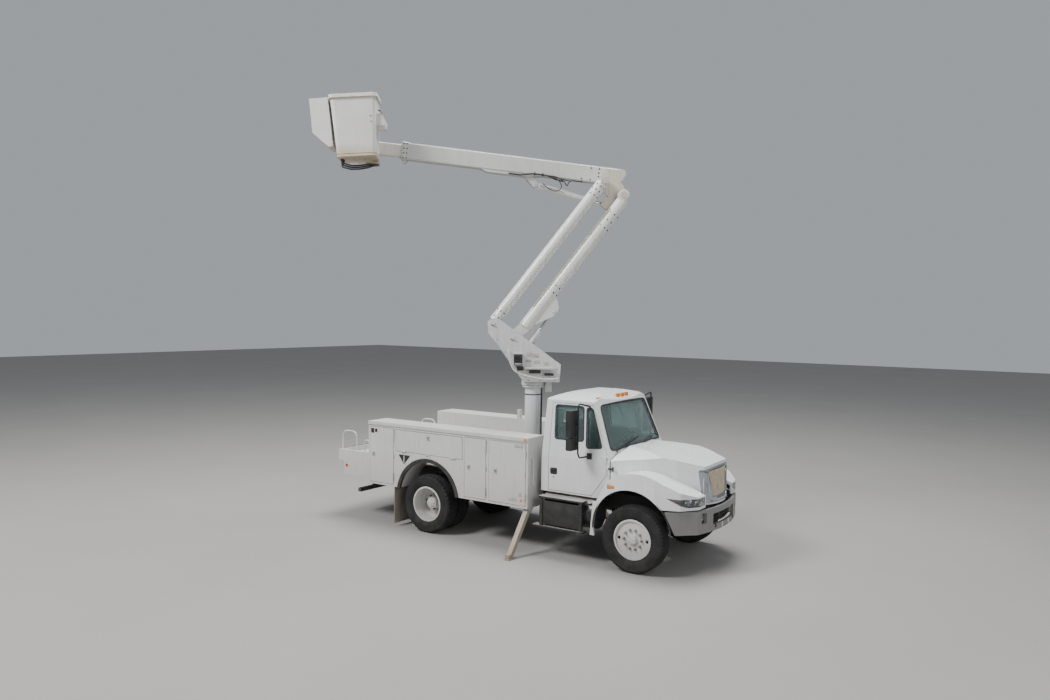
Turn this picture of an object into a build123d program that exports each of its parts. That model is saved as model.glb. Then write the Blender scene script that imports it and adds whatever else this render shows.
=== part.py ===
from build123d import *
import math
import os

# Cherry picker truck: a conventional-cab chassis with a service body and an articulated,
# telescopic aerial lift. Millimetres. X points forward from the front axle, Y to the left,
# Z up from the ground. At the end everything is moved to the middle of its outline.

# Chassis and wheels
WHEELBASE = 3861
AXLE_Z = 500
TYRE_WIDTH = 280
RIM_R = 299
RIM_BORE_R = 272
RIM_HALF = 115
DISC_T = 14
FRONT_TRACK = 2030
REAR_TRACK = 1790
DUAL_SPACING = 330
KINGPIN_Y = 870
RUN_CLEAR = 6
PIN_CLEAR = 0.3
PAD_CLEAR = 0.4
FRAME_HALF = 432
FRAME_TOP = 990
FRAME_DEPTH = 254
FRAME_FLANGE = 76
FRAME_GAUGE = 10
FRAME_FRONT = 890
FRAME_REAR = -WHEELBASE - 1999
SPRING_HALF = 700
SPRING_WIDTH = 76
SPRING_T = 46
SPINDLE_R = 42
DRUM_R = 205
AXLE_TUBE_R = 70

# Cab
CAB_REAR = -1667
CAB_FRONT = -460
CAB_HALF = 1000
CAB_FLOOR = 1000
CAB_TOE = (-610, 1262)
CAB_BELT = 1560
ROOF_HALF = 880
ROOF_EDGE = 2440
ROOF_TOP = 2580
CAB_WALL = 55
SHUT_GAP = 7
GLASS_T = 8
SCREEN_LOW = (-395, 1735)
SCREEN_HIGH = (-690, 2440)
SCREEN_BOW = 120

# Hood
HOOD_REAR = -445
HOOD_TOP_REAR = 1760
HOOD_TOP_FRONT = 1570
NOSE_TOP_X = 830
NOSE_LOW_X = 950
NOSE_LOW_Z = 1005
NOSE_HALF = 455
HOOD_HINGE = (885, 1000)
HOOD_HINGE_Y = 120
HOOD_EAR_R = 16
HOOD_PIN_R = 10
HOOD_WALL = 36
FENDER_HALF = 1180
FENDER_INNER = 560
FENDER_FRONT = 905
ARCH_X = -40
ARCH_Z = 625
ARCH_R = 605
SKIRT_LOW = 470

# Front bumper
BUMPER_FRONT = 1005
BUMPER_CORNER = (880, 800)
BUMPER_END = (500, 1150)
BUMPER_LOW = 640
BUMPER_HIGH = 978
BUMPER_WALL = 42

# Service body
BODY_FRONT = -1785
BODY_REAR = -WHEELBASE - 1344
BODY_HALF = 1200
BOX_DEPTH = 468
BODY_LOW = 710
BODY_TOP = 1831
BODY_WALL = 20
DOOR_T = 24
BED_Z = 1060
BED_T = 16
WELL_X = -WHEELBASE + 31
WELL_Z = 600
WELL_R = 636
WELL_WALL = 14
FLARE_W = 50
SHELF_REAR = BODY_REAR - 795
SHELF_HALF = 1160
SHELF_TOP = 1240
SHELF_MID = 1030
SHELF_LOW = 795

# Outriggers: box legs that slide in slanted sleeves inside the front lockers
LEG_X = -1845
LEG_SIDE = 80
LEG_FOOT_Y = 1625
LEG_TILT = 37.7
LEG_LENGTH = 1100
LEG_STROKE = 650
SLEEVE_WALL = 8
SLEEVE_LOW_Z = 660
SLEEVE_HIGH_Z = 1400

# Lift: pins are (outward, up) in the lift's own upright plane through the turret axis
TURRET_X = -2480
SLEW = 36.3
PEDESTAL_R = 140
PEDESTAL_TOP = 2555
TURRET_LOW = 2630
SPIGOT_R = 95
ARM_W = -130
BOOM_W = 170
MAIN_PIN = (373, 3385)
LINK_PIN = (707, 3622)
ARM_LENGTH = 3065
ARM_ANGLE = 127.24
MAIN_R = 112
MAIN_SHIFT = 60
LINK_R = 98
BOSS_HALF = 118
PIN_R = 35
PLATE_T = 20
BOOM_PIN = (-1345, 6177)
BOOM_ANGLE = 5.7
BOOM_LENGTH = 3657
BOOM_OVERHANG = 180
BOOM_HEIGHT = 280
BOOM_WIDTH = 200
BOOM_WALL = 8
INNER_HEIGHT = 214
INNER_WIDTH = 150
INNER_START = 600
INNER_TIP = 4385
TELESCOPE = 2600
LIFT_BASE = (273, 2958)
LIFT_EYE = (-315, 3839)
LIFT_LOW_ELEV = 5
LIFT_HIGH_ELEV = 80
BOOM_CYL_ROD = (-1221, 5700)
BOOM_CYL_BASE = (16, 6028)
BOOM_LOW_ELEV = -25
BOOM_HIGH_ELEV = 70
CYL_R = 52
ROD_R = 28
EYE_R = 40
EYE_HALF = 32

# Bucket, hung beside the inner boom's tip and tilted a little about the levelling pin
LEVEL_PIN = (2950, 6606)
LEVEL_PIN_R = 28
BUCKET_TILT = -4.3
BUCKET_W = -270
BUCKET_NEAR_TOP, BUCKET_FAR_TOP = 2612, 3360
BUCKET_NEAR_LOW, BUCKET_FAR_LOW = 2680, 3312
BUCKET_HALF = 300
BUCKET_HALF_LOW = 265
BUCKET_LOW = 6310
BUCKET_TOP = 7316
BUCKET_WALL = 12
LIP_H = 60
LIP_OUT = 22
MOUNT_W = 56
MOUNT_T = 16

OUT = Vector(math.cos(math.radians(180 + SLEW)), math.sin(math.radians(180 + SLEW)), 0)
ACROSS = Vector(OUT.Y, -OUT.X, 0)
UP = Vector(0, 0, 1)
SIDES = (("right", -1), ("left", 1))
pieces = {}


def lift_plane(w=0.0):
    """The lift's upright plane, w to the far side: x outward, y up."""
    return Plane(origin=Vector(TURRET_X, 0, 0) + ACROSS * w, x_dir=OUT, z_dir=ACROSS)


def lift_point(point, w=0.0):
    """A point of the lift's plane as a point of the truck."""
    return Vector(TURRET_X, 0, 0) + OUT * point[0] + UP * point[1] + ACROSS * w


def along(start, angle, distance, aside=0.0):
    """A point of the lift's plane, a distance along an angle and a little to its left."""
    c, s = math.cos(math.radians(angle)), math.sin(math.radians(angle))
    return (start[0] + c * distance - s * aside, start[1] + s * distance + c * aside)


def section_plane(start, angle, distance, w, aside=0.0):
    """A plane across a tube of the lift, facing along it, with its y up."""
    c, s = math.cos(math.radians(angle)), math.sin(math.radians(angle))
    return Plane(origin=lift_point(along(start, angle, distance, aside), w),
                 x_dir=ACROSS * -1, z_dir=OUT * c + UP * s)


def levelled(piece):
    """A piece of the bucket turned from level to its resting tilt about the levelling pin."""
    return piece.rotate(Axis(lift_point(LEVEL_PIN, BUCKET_W), ACROSS), BUCKET_TILT)


def span(a, b):
    return math.hypot(b[0] - a[0], b[1] - a[1])


def heading(a, b):
    return math.degrees(math.atan2(b[1] - a[1], b[0] - a[0]))


MAIN_TOP = along(MAIN_PIN, ARM_ANGLE, ARM_LENGTH)
LINK_TOP = along(LINK_PIN, ARM_ANGLE, ARM_LENGTH)


# Frame: two channel rails, cross tubes, and the low bar behind them
with BuildPart() as frame_rails:
    for side in (-1, 1):
        with BuildSketch(Plane.YZ.offset(FRAME_REAR)):
            with Locations((side * (FRAME_HALF - FRAME_FLANGE / 2), FRAME_TOP - FRAME_DEPTH / 2)):
                Rectangle(FRAME_FLANGE, FRAME_DEPTH)
            with Locations((side * (FRAME_HALF - FRAME_FLANGE / 2 - FRAME_GAUGE),
                            FRAME_TOP - FRAME_DEPTH / 2)):
                Rectangle(FRAME_FLANGE, FRAME_DEPTH - 2 * FRAME_GAUGE, mode=Mode.SUBTRACT)
        extrude(amount=FRAME_FRONT - FRAME_REAR)
    CROSS_TUBES = (735, -1250, TURRET_X, -WHEELBASE + 611, -WHEELBASE - 589, -WHEELBASE - 1389,
                   FRAME_REAR + 60)
    for x in CROSS_TUBES:
        with BuildSketch(Plane.XZ.offset(-FRAME_HALF + FRAME_GAUGE)):
            with Locations((x, FRAME_TOP - 75)):
                Rectangle(80, 110)
        extrude(amount=2 * (FRAME_HALF - FRAME_GAUGE))
    # Front cross tube with the ears and pins of the hood's hinge
    with BuildSketch(Plane.XZ.offset(-FRAME_HALF + FRAME_GAUGE)):
        with Locations((HOOD_HINGE[0] - 45, FRAME_TOP - 90)):
            Rectangle(60, 100)
    extrude(amount=2 * (FRAME_HALF - FRAME_GAUGE))
    for side in (-1, 1):
        with BuildSketch(Plane.XZ.offset(-side * (HOOD_HINGE_Y - 12))):
            with Locations(HOOD_HINGE):
                Circle(HOOD_EAR_R)
            with Locations((HOOD_HINGE[0] - 16, FRAME_TOP - 25)):
                Rectangle(48, 70)
        extrude(amount=-side * 16)
        with BuildSketch(Plane.XZ.offset(-side * (HOOD_HINGE_Y - 12))):
            with Locations(HOOD_HINGE):
                Circle(HOOD_PIN_R)
        extrude(amount=-side * 52)
pieces["frame_rails"] = frame_rails.part

# Rear bar below the rails' ends, with a receiver tube for a drawbar, open to the rear
BAR_X, BAR_Z, BAR_HALF, BAR_SIDE = FRAME_REAR + 40, 430, 800, 70
RECEIVER_SIDE, RECEIVER_WALL, RECEIVER_LENGTH = 64, 7, 190
RAIL_LOW = FRAME_TOP - FRAME_DEPTH
with BuildPart() as rear_bar:
    for side in (-1, 1):
        with BuildSketch(Plane.XY.offset(BAR_Z)):
            with Locations((BAR_X, side * (FRAME_HALF - 20))):
                Rectangle(60, 30)
        extrude(amount=RAIL_LOW - BAR_Z)
    with BuildSketch(Plane.XZ.offset(-BAR_HALF)):
        with Locations((BAR_X, BAR_Z)):
            Rectangle(BAR_SIDE, BAR_SIDE)
    extrude(amount=2 * BAR_HALF)
    with BuildSketch(Plane.YZ.offset(BAR_X + BAR_SIDE / 2)):
        with Locations((0, BAR_Z + BAR_SIDE / 2 + RECEIVER_SIDE / 2)):
            Rectangle(RECEIVER_SIDE, RECEIVER_SIDE)
    extrude(amount=-RECEIVER_LENGTH)
    with BuildSketch(Plane.YZ.offset(BAR_X + BAR_SIDE / 2 + 10)):
        with Locations((0, BAR_Z + BAR_SIDE / 2 + RECEIVER_SIDE / 2)):
            Rectangle(RECEIVER_SIDE - 2 * RECEIVER_WALL, RECEIVER_SIDE - 2 * RECEIVER_WALL)
    extrude(amount=-RECEIVER_LENGTH - 20, mode=Mode.SUBTRACT)
pieces["rear_bar"] = rear_bar.part

# Engine as one block, gearbox, propeller shaft and exhaust
ENGINE = (-330, 520, 280, 780, 1370)
GEARBOX_REAR = -1150
RADIATOR_X = 600
SHAFT_R = 50
PINION_X = -WHEELBASE + 270
EXHAUST_Y = 300
EXHAUST_Z = 600
MUFFLER_R = 90
MUFFLER_X = (-1700, -950)
with BuildPart() as powertrain:
    with BuildSketch(Plane.XY.offset(ENGINE[3])):
        with Locations(((ENGINE[0] + ENGINE[1]) / 2, 0)):
            Rectangle(ENGINE[1] - ENGINE[0], 2 * ENGINE[2])
    extrude(amount=ENGINE[4] - ENGINE[3])
    with BuildSketch(Plane.YZ.offset(GEARBOX_REAR)):
        with Locations((0, 850)):
            RectangleRounded(320, 300, 60)
    extrude(amount=ENGINE[0] - GEARBOX_REAR)
    # Mounts out to the rails, and the radiator behind the grille
    for x, z in ((0, 860), (-900, 860)):
        with BuildSketch(Plane.XZ.offset(-FRAME_HALF + FRAME_GAUGE + PIN_CLEAR)):
            with Locations((x, z)):
                Rectangle(90, 70)
        extrude(amount=2 * (FRAME_HALF - FRAME_GAUGE - PIN_CLEAR))
    with BuildSketch(Plane.YZ.offset(RADIATOR_X)):
        with Locations((0, 1125)):
            Rectangle(700, 610)
    extrude(amount=60)
    with BuildSketch(Plane.YZ.offset(ENGINE[1] - 10)):
        with Locations((0, 1100)):
            Circle(60)
    extrude(amount=RADIATOR_X - ENGINE[1] + 15)
    shaft_start = Vector(GEARBOX_REAR + 20, 0, 800)
    shaft_end = Vector(PINION_X + 12, 0, AXLE_Z + 20)
    with BuildSketch(Plane(origin=shaft_start, z_dir=shaft_end - shaft_start)):
        Circle(SHAFT_R)
    extrude(amount=(shaft_end - shaft_start).length)
    with BuildSketch(Plane.YZ.offset(MUFFLER_X[0])):
        with Locations((EXHAUST_Y, EXHAUST_Z)):
            Circle(MUFFLER_R)
    extrude(amount=MUFFLER_X[1] - MUFFLER_X[0])
    with BuildLine() as pipe_line:
        FilletPolyline((-200, 200, ENGINE[3] + 20), (-200, 200, 690), (-620, EXHAUST_Y, EXHAUST_Z),
                       (-2600, EXHAUST_Y, EXHAUST_Z), (-2900, 660, EXHAUST_Z - 30), radius=45)
    with BuildSketch(Plane(origin=(-200, 200, ENGINE[3] + 20), z_dir=(0, 0, -1))):
        Circle(38)
    sweep(path=pipe_line.line)
pieces["powertrain"] = powertrain.part

# Axles, each with its pair of leaf springs
FRONT_BEAM_Z = 400
EYE_TOP, EYE_LOW = 560, 440
with BuildPart() as front_axle:
    with BuildSketch(Plane.YZ.offset(-45)):
        with BuildLine():
            Polyline((-KINGPIN_Y, EYE_LOW), (-640, EYE_LOW), (-540, FRONT_BEAM_Z - 50),
                     (540, FRONT_BEAM_Z - 50), (640, EYE_LOW), (KINGPIN_Y, EYE_LOW),
                     (KINGPIN_Y, EYE_TOP), (600, EYE_TOP), (500, FRONT_BEAM_Z + 50),
                     (-500, FRONT_BEAM_Z + 50), (-600, EYE_TOP), (-KINGPIN_Y, EYE_TOP), close=True)
        make_face()
    extrude(amount=90)
    with BuildSketch(Plane.XY.offset(EYE_LOW)):
        with Locations((0, -KINGPIN_Y), (0, KINGPIN_Y)):
            Circle(52)
    extrude(amount=EYE_TOP - EYE_LOW)
    with BuildSketch(Plane.XY.offset(EYE_LOW)):
        with Locations((0, -KINGPIN_Y), (0, KINGPIN_Y)):
            Circle(24 + PIN_CLEAR)
    extrude(amount=EYE_TOP - EYE_LOW, mode=Mode.SUBTRACT)


def leaf_spring(x, y, z_mid, z_end):
    """A leaf pack: a bowed band under a rail, with an eye block at each end."""
    with BuildPart() as spring:
        with BuildSketch(Plane.XZ.offset(-y - SPRING_WIDTH / 2)):
            with BuildLine():
                low = ThreePointArc((x - SPRING_HALF, z_end), (x, z_mid), (x + SPRING_HALF, z_end))
                high = ThreePointArc((x - SPRING_HALF, z_end + SPRING_T), (x, z_mid + SPRING_T),
                                     (x + SPRING_HALF, z_end + SPRING_T))
                Line(low @ 0, high @ 0)
                Line(low @ 1, high @ 1)
            make_face()
        extrude(amount=SPRING_WIDTH)
    return spring.part


SPRING_Y = FRAME_HALF - SPRING_WIDTH / 2
with BuildPart() as front_running:
    add(front_axle.part)
    for side in (-1, 1):
        add(leaf_spring(0, side * SPRING_Y, FRONT_BEAM_Z + 48, RAIL_LOW - SPRING_T))
        with BuildSketch(Plane.XY.offset(FRONT_BEAM_Z + 45)):
            with Locations((0, side * SPRING_Y)):
                Rectangle(150, SPRING_WIDTH + 20)
        extrude(amount=SPRING_T + 25)

REAR_HUB_Y = REAR_TRACK / 2 - DUAL_SPACING / 2 - 35
with BuildPart() as rear_running:
    with BuildSketch(Plane(origin=(-WHEELBASE, -REAR_HUB_Y, AXLE_Z), z_dir=(0, 1, 0))):
        Circle(AXLE_TUBE_R)
    extrude(amount=2 * REAR_HUB_Y)
    with BuildSketch(Plane(origin=(-WHEELBASE, -REAR_TRACK / 2 - 60, AXLE_Z), z_dir=(0, 1, 0))):
        Circle(SPINDLE_R)
    extrude(amount=REAR_TRACK + 120)
    with BuildSketch(Plane.XY.offset(AXLE_Z)):
        with Locations((-WHEELBASE, 0)):
            Circle(185)
    extrude(amount=120, both=True, taper=18)
    with BuildSketch(Plane.YZ.offset(-WHEELBASE + 120)):
        with Locations((0, AXLE_Z + 20)):
            Circle(85)
    extrude(amount=PINION_X + WHEELBASE - 120)
    for side in (-1, 1):
        add(leaf_spring(-WHEELBASE, side * SPRING_Y, AXLE_Z + AXLE_TUBE_R + 14, RAIL_LOW - SPRING_T))
        with BuildSketch(Plane.XY.offset(AXLE_Z + 40)):
            with Locations((-WHEELBASE, side * SPRING_Y)):
                Rectangle(150, SPRING_WIDTH + 20)
        extrude(amount=AXLE_TUBE_R + SPRING_T)
with BuildPart() as axles:
    add(front_running.part)
    add(rear_running.part)
pieces["axles"] = axles.part

# Steering knuckles: a fork on the kingpin, the spindle and the brake plate
FORK_T = 34
SPINDLE_END = FRONT_TRACK / 2 + 40
PLATE_Y = KINGPIN_Y + 62
for name, side in SIDES:
    with BuildPart() as knuckle:
        for low in (EYE_LOW - RUN_CLEAR - FORK_T, EYE_TOP + RUN_CLEAR):
            with BuildSketch(Plane.XY.offset(low)):
                with Locations((0, side * KINGPIN_Y)):
                    Circle(46)
                with Locations((0, side * (KINGPIN_Y + 33))):
                    Rectangle(80, 66)
            extrude(amount=FORK_T)
        with BuildSketch(Plane.XY.offset(EYE_LOW - RUN_CLEAR - FORK_T)):
            with Locations((0, side * KINGPIN_Y)):
                Circle(24)
        extrude(amount=EYE_TOP - EYE_LOW + 2 * (RUN_CLEAR + FORK_T))
        with BuildSketch(Plane.XZ.offset(-side * PLATE_Y)):
            with Locations((0, AXLE_Z)):
                Circle(190)
        extrude(amount=-side * 16)
        with BuildSketch(Plane.XZ.offset(-side * PLATE_Y)):
            with Locations((0, AXLE_Z)):
                Circle(SPINDLE_R)
        extrude(amount=-side * (SPINDLE_END - PLATE_Y))
    pieces[f"steering_knuckle_{name}"] = knuckle.part


def ring(x, outline, y_origin, side):
    """A body of revolution about an axle: outline points are (radius, outboard offset)."""
    with BuildPart() as turned:
        with BuildSketch(Plane(origin=(x, y_origin, AXLE_Z), x_dir=(1, 0, 0), z_dir=(0, 0, 1))):
            with BuildLine():
                Polyline(*[(r, side * y) for r, y in outline], close=True)
            make_face()
        revolve(axis=Axis((x, y_origin, AXLE_Z), (0, 1, 0)))
    return turned.part


# Tyre section: bead, sidewall bulge, shoulder, tread
HALF_T = TYRE_WIDTH / 2
BEAD_R = RIM_R - 8
TYRE_SECTION = ((BEAD_R + PIN_CLEAR, RIM_HALF - 13 - PIN_CLEAR),
                (RIM_R + PIN_CLEAR, RIM_HALF - 12 - PIN_CLEAR), (RIM_R + 8, HALF_T - 22),
                (RIM_R + 55, HALF_T - 4), (RIM_R + 100, HALF_T), (AXLE_Z - 52, HALF_T - 6),
                (AXLE_Z - 16, HALF_T - 18), (AXLE_Z - 4, HALF_T - 34), (AXLE_Z, HALF_T - 60))
TYRE_OUTLINE = TYRE_SECTION + tuple((r, -y) for r, y in reversed(TYRE_SECTION))


DISC_EYE_R = SPINDLE_R + PIN_CLEAR + 30
RIM_BARREL = ((RIM_BORE_R, -RIM_HALF), (RIM_R, -RIM_HALF), (RIM_R, -RIM_HALF + 12),
              (BEAD_R, -RIM_HALF + 13), (BEAD_R, RIM_HALF - 13), (RIM_R, RIM_HALF - 12),
              (RIM_R, RIM_HALF), (RIM_BORE_R, RIM_HALF))
FRONT_DISC = 78
DUAL_DISC = -DUAL_SPACING / 2
# The front disc lies inside its rim, a dual wheel's disc lies inboard of it on a cone
FRONT_RIM = ((DISC_EYE_R, FRONT_DISC - DISC_T / 2), (RIM_BORE_R, FRONT_DISC - DISC_T / 2),
             *RIM_BARREL, (RIM_BORE_R, FRONT_DISC + DISC_T / 2),
             (DISC_EYE_R, FRONT_DISC + DISC_T / 2))
DUAL_RIM = ((DISC_EYE_R, DUAL_DISC), (RIM_BORE_R - 22, DUAL_DISC), *RIM_BARREL,
            (RIM_BORE_R, DUAL_DISC + 80), (RIM_BORE_R - 34, DUAL_DISC + DISC_T),
            (DISC_EYE_R, DUAL_DISC + DISC_T))


def hand_holes(x, y, reach):
    """Two round hand holes through a wheel disc, above and below the hub."""
    with BuildPart() as holes:
        with BuildSketch(Plane(origin=(x, y - reach, AXLE_Z), z_dir=(0, 1, 0))):
            with PolarLocations(225, 2, start_angle=90):
                Circle(26)
        extrude(amount=2 * reach)
    return holes.part


for name, side in SIDES:
    centre = side * FRONT_TRACK / 2
    pieces[f"tyre_front_{name}"] = ring(0, TYRE_OUTLINE, centre, side)
    drum_in = PLATE_Y + 16 + RUN_CLEAR - FRONT_TRACK / 2
    HUB_BORE = SPINDLE_R + PIN_CLEAR
    hub_cap = SPINDLE_END + RUN_CLEAR - FRONT_TRACK / 2
    with BuildPart() as wheel:
        add(ring(0, FRONT_RIM, centre, side))
        add(ring(0, ((HUB_BORE, drum_in), (DRUM_R, drum_in), (DRUM_R, FRONT_DISC),
                     (88, FRONT_DISC), (70, 110), (0, 110), (0, hub_cap), (HUB_BORE, hub_cap)),
                 centre, side))
        add(hand_holes(0, centre + side * FRONT_DISC, 12), mode=Mode.SUBTRACT)
    pieces[f"wheel_front_{name}"] = wheel.part

    with BuildPart() as tyres:
        for shift in (-DUAL_SPACING / 2, DUAL_SPACING / 2):
            add(ring(-WHEELBASE, TYRE_OUTLINE, side * (REAR_TRACK / 2 + shift), side))
    pieces[f"tyres_rear_{name}"] = tyres.part
    outer = side * (REAR_TRACK / 2 + DUAL_SPACING / 2)
    inner = side * (REAR_TRACK / 2 - DUAL_SPACING / 2)
    mid = side * REAR_TRACK / 2
    with BuildPart() as wheels:
        add(ring(-WHEELBASE, DUAL_RIM, outer, side))
        add(ring(-WHEELBASE, DUAL_RIM, inner, -side))
        drum_start = REAR_HUB_Y + RUN_CLEAR - REAR_TRACK / 2
        add(ring(-WHEELBASE, ((HUB_BORE, drum_start), (DRUM_R, drum_start), (DRUM_R, 0),
                              (150, 0), (105, 40), (95, 150), (0, 150), (0, 66), (HUB_BORE, 66)),
                 mid, side))
        add(hand_holes(-WHEELBASE, mid, 20), mode=Mode.SUBTRACT)
    pieces[f"wheels_rear_{name}"] = wheels.part


def butt_hinge(origin, along_pin, toward_leaf, flip, length, radius, reach, depth):
    """The two halves of a butt hinge: the leaf's knuckle, and the pin with its end ears.

    The pin runs from origin. The tabs go depth deep to local -y, or to +y when flipped.
    """
    pin_r = radius * 0.45
    ear = 12
    seam = 4
    face_y = depth if flip else -depth
    with BuildPart() as knuckle:
        with BuildSketch(Plane(origin=origin + along_pin * ear, x_dir=toward_leaf,
                               z_dir=along_pin)):
            Circle(radius)
            with Locations(((seam + reach) / 2, face_y / 2)):
                Rectangle(reach - seam, depth)
            Circle(pin_r + PIN_CLEAR, mode=Mode.SUBTRACT)
        extrude(amount=length - 2 * ear)
    with BuildPart() as pin:
        for start in (0, length - ear + 0.5):
            with BuildSketch(Plane(origin=origin + along_pin * start, x_dir=toward_leaf,
                                   z_dir=along_pin)):
                Circle(radius)
                with Locations((-(seam + reach) / 2, face_y / 2)):
                    Rectangle(reach - seam, depth)
            extrude(amount=ear - 0.5)
        with BuildSketch(Plane(origin=origin, x_dir=toward_leaf, z_dir=along_pin)):
            Circle(pin_r)
        extrude(amount=length)
    return knuckle.part, pin.part


# Cab: side outline cut to a front outline with leaning sides and a crowned roof
def cab_volume(inset):
    """The cab's solid form, every face moved in by inset."""
    i = inset
    with BuildPart() as cab:
        with BuildSketch(Plane.XZ):
            with BuildLine():
                Polyline((CAB_FRONT - i, CAB_TOE[1]), (CAB_TOE[0] - i, CAB_FLOOR + i),
                         (CAB_REAR + i, CAB_FLOOR + i),
                         (CAB_REAR + 30 + i, ROOF_EDGE + 20 - i))
                ThreePointArc((CAB_REAR + 30 + i, ROOF_EDGE + 20 - i), (-1200, ROOF_TOP - i),
                              (SCREEN_HIGH[0] - i, ROOF_EDGE - i))
                Polyline((SCREEN_HIGH[0] - i, ROOF_EDGE - i), (SCREEN_LOW[0] - i, SCREEN_LOW[1]),
                         (CAB_FRONT - i, SCREEN_LOW[1] - 60), (CAB_FRONT - i, CAB_TOE[1]))
            make_face()
        extrude(amount=CAB_HALF, both=True)
        with BuildSketch(Plane.YZ.offset(CAB_REAR - 50)):
            with BuildLine():
                Polyline((-ROOF_HALF + i, ROOF_EDGE - i), (-CAB_HALF + i, CAB_BELT),
                         (-CAB_HALF + 12 + i, CAB_FLOOR - 50), (CAB_HALF - 12 - i, CAB_FLOOR - 50),
                         (CAB_HALF - i, CAB_BELT), (ROOF_HALF - i, ROOF_EDGE - i))
                ThreePointArc((-ROOF_HALF + i, ROOF_EDGE - i), (0, ROOF_TOP - i),
                              (ROOF_HALF - i, ROOF_EDGE - i))
            make_face()
        extrude(amount=CAB_FRONT - CAB_REAR + 300, mode=Mode.INTERSECT)
        # Bowed windscreen: a cylinder face that follows the screen's slope
        lean = Vector(SCREEN_HIGH[0] - SCREEN_LOW[0], 0, SCREEN_HIGH[1] - SCREEN_LOW[1])
        foot = Vector(SCREEN_LOW[0] - i, 0, SCREEN_LOW[1]) - lean * 1.4
        slope = Plane(origin=foot, x_dir=(0, 1, 0), z_dir=lean)
        with BuildSketch(slope):
            with BuildLine():
                ThreePointArc((-CAB_HALF, SCREEN_BOW), (0, 0), (CAB_HALF, SCREEN_BOW))
                Polyline((-CAB_HALF, SCREEN_BOW), (-CAB_HALF, 1800), (CAB_HALF, 1800),
                         (CAB_HALF, SCREEN_BOW))
            make_face()
        extrude(amount=lean.length * 3.2, mode=Mode.INTERSECT)
    return cab.part


def side_prism(points, reach=(700, 1100), corner=0):
    """A prism across one or both cab sides, from an outline in the side view."""
    with BuildPart() as prism:
        for side in (-1, 1):
            with BuildSketch(Plane.XZ.offset(-side * reach[0])):
                with BuildLine():
                    Polyline(*points, close=True)
                make_face()
                if corner:
                    fillet(vertices(), corner)
            extrude(amount=-side * (reach[1] - reach[0]))
    return prism.part


DOOR_REAR, DOOR_FRONT = -1530, -512
DOOR_TOE_X, DOOR_TOE_Z = -760, 1360
DOOR_LOW, DOOR_HIGH = CAB_FLOOR + 22, 2400
DOOR_OUTLINE = ((DOOR_REAR, DOOR_LOW), (DOOR_TOE_X, DOOR_LOW), (DOOR_FRONT, DOOR_TOE_Z),
                (DOOR_FRONT, 1690), (-550, 1765), (-800, DOOR_HIGH), (DOOR_REAR, DOOR_HIGH))
GAP = SHUT_GAP
DOOR_LEAF = ((DOOR_REAR + GAP, DOOR_LOW + GAP), (DOOR_TOE_X - 3.5, DOOR_LOW + GAP),
             (DOOR_FRONT - GAP, DOOR_TOE_Z + 3), (DOOR_FRONT - GAP, 1690 - 3), (-550 - GAP, 1765 - 3),
             (-800 - GAP + 2, DOOR_HIGH - GAP), (DOOR_REAR + GAP, DOOR_HIGH - GAP))
MAIN_WINDOW = ((-1440, 1838), (-928, 1838), (-968, 2362), (-1470, 2362))
VENT_WINDOW = ((-872, 1745), (-600, 1765), (-812, 2350), (-915, 2350))
BACK_WINDOW = (900, 380, 2150)

with BuildPart() as between_sides:
    with BuildSketch(Plane.YZ.offset(CAB_REAR - 100)):
        with BuildLine():
            Polyline((-ROOF_HALF + CAB_WALL, ROOF_EDGE), (-CAB_HALF + CAB_WALL, CAB_BELT),
                     (-CAB_HALF + 12 + CAB_WALL, CAB_FLOOR - 50),
                     (CAB_HALF - 12 - CAB_WALL, CAB_FLOOR - 50),
                     (CAB_HALF - CAB_WALL, CAB_BELT), (ROOF_HALF - CAB_WALL, ROOF_EDGE), close=True)
        make_face()
    extrude(amount=1500)
cab_outer = cab_volume(0)
cab_inner = cab_volume(CAB_WALL)
glass_outer = cab_volume(CAB_WALL / 2 - GLASS_T / 2)
glass_inner = cab_volume(CAB_WALL / 2 + GLASS_T / 2)


def screen_opening(grow):
    """The windscreen's opening: a prism along the slope, with round corners."""
    lean = Vector(SCREEN_HIGH[0] - SCREEN_LOW[0], 0, SCREEN_HIGH[1] - SCREEN_LOW[1])
    middle = Vector((SCREEN_LOW[0] + SCREEN_HIGH[0]) / 2, 0, (SCREEN_LOW[1] + SCREEN_HIGH[1]) / 2)
    facing = Plane(origin=middle, x_dir=(0, 1, 0), z_dir=Vector(-lean.Z, 0, lean.X) * -1)
    half_low, half_high, rise = 890 + grow, 790 + grow, lean.length / 2 - 28 + grow
    with BuildPart() as opening:
        with BuildSketch(facing):
            with BuildLine():
                Polyline((-half_low, -rise), (half_low, -rise), (half_high, rise), (-half_high, rise),
                         close=True)
            make_face()
            fillet(vertices(), 60)
        extrude(amount=150, both=True)
    return opening.part


CAB_HINGE_Y = CAB_HALF + 14
CAB_HINGES = {}
for name, side in SIDES:
    CAB_HINGES[name] = [butt_hinge(Vector(DOOR_FRONT - GAP / 2, side * CAB_HINGE_Y, z), UP,
                                   Vector(-1, 0, 0), side > 0, 90, 13, 40, 24)
                        for z in (1380, 1560)]

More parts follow.
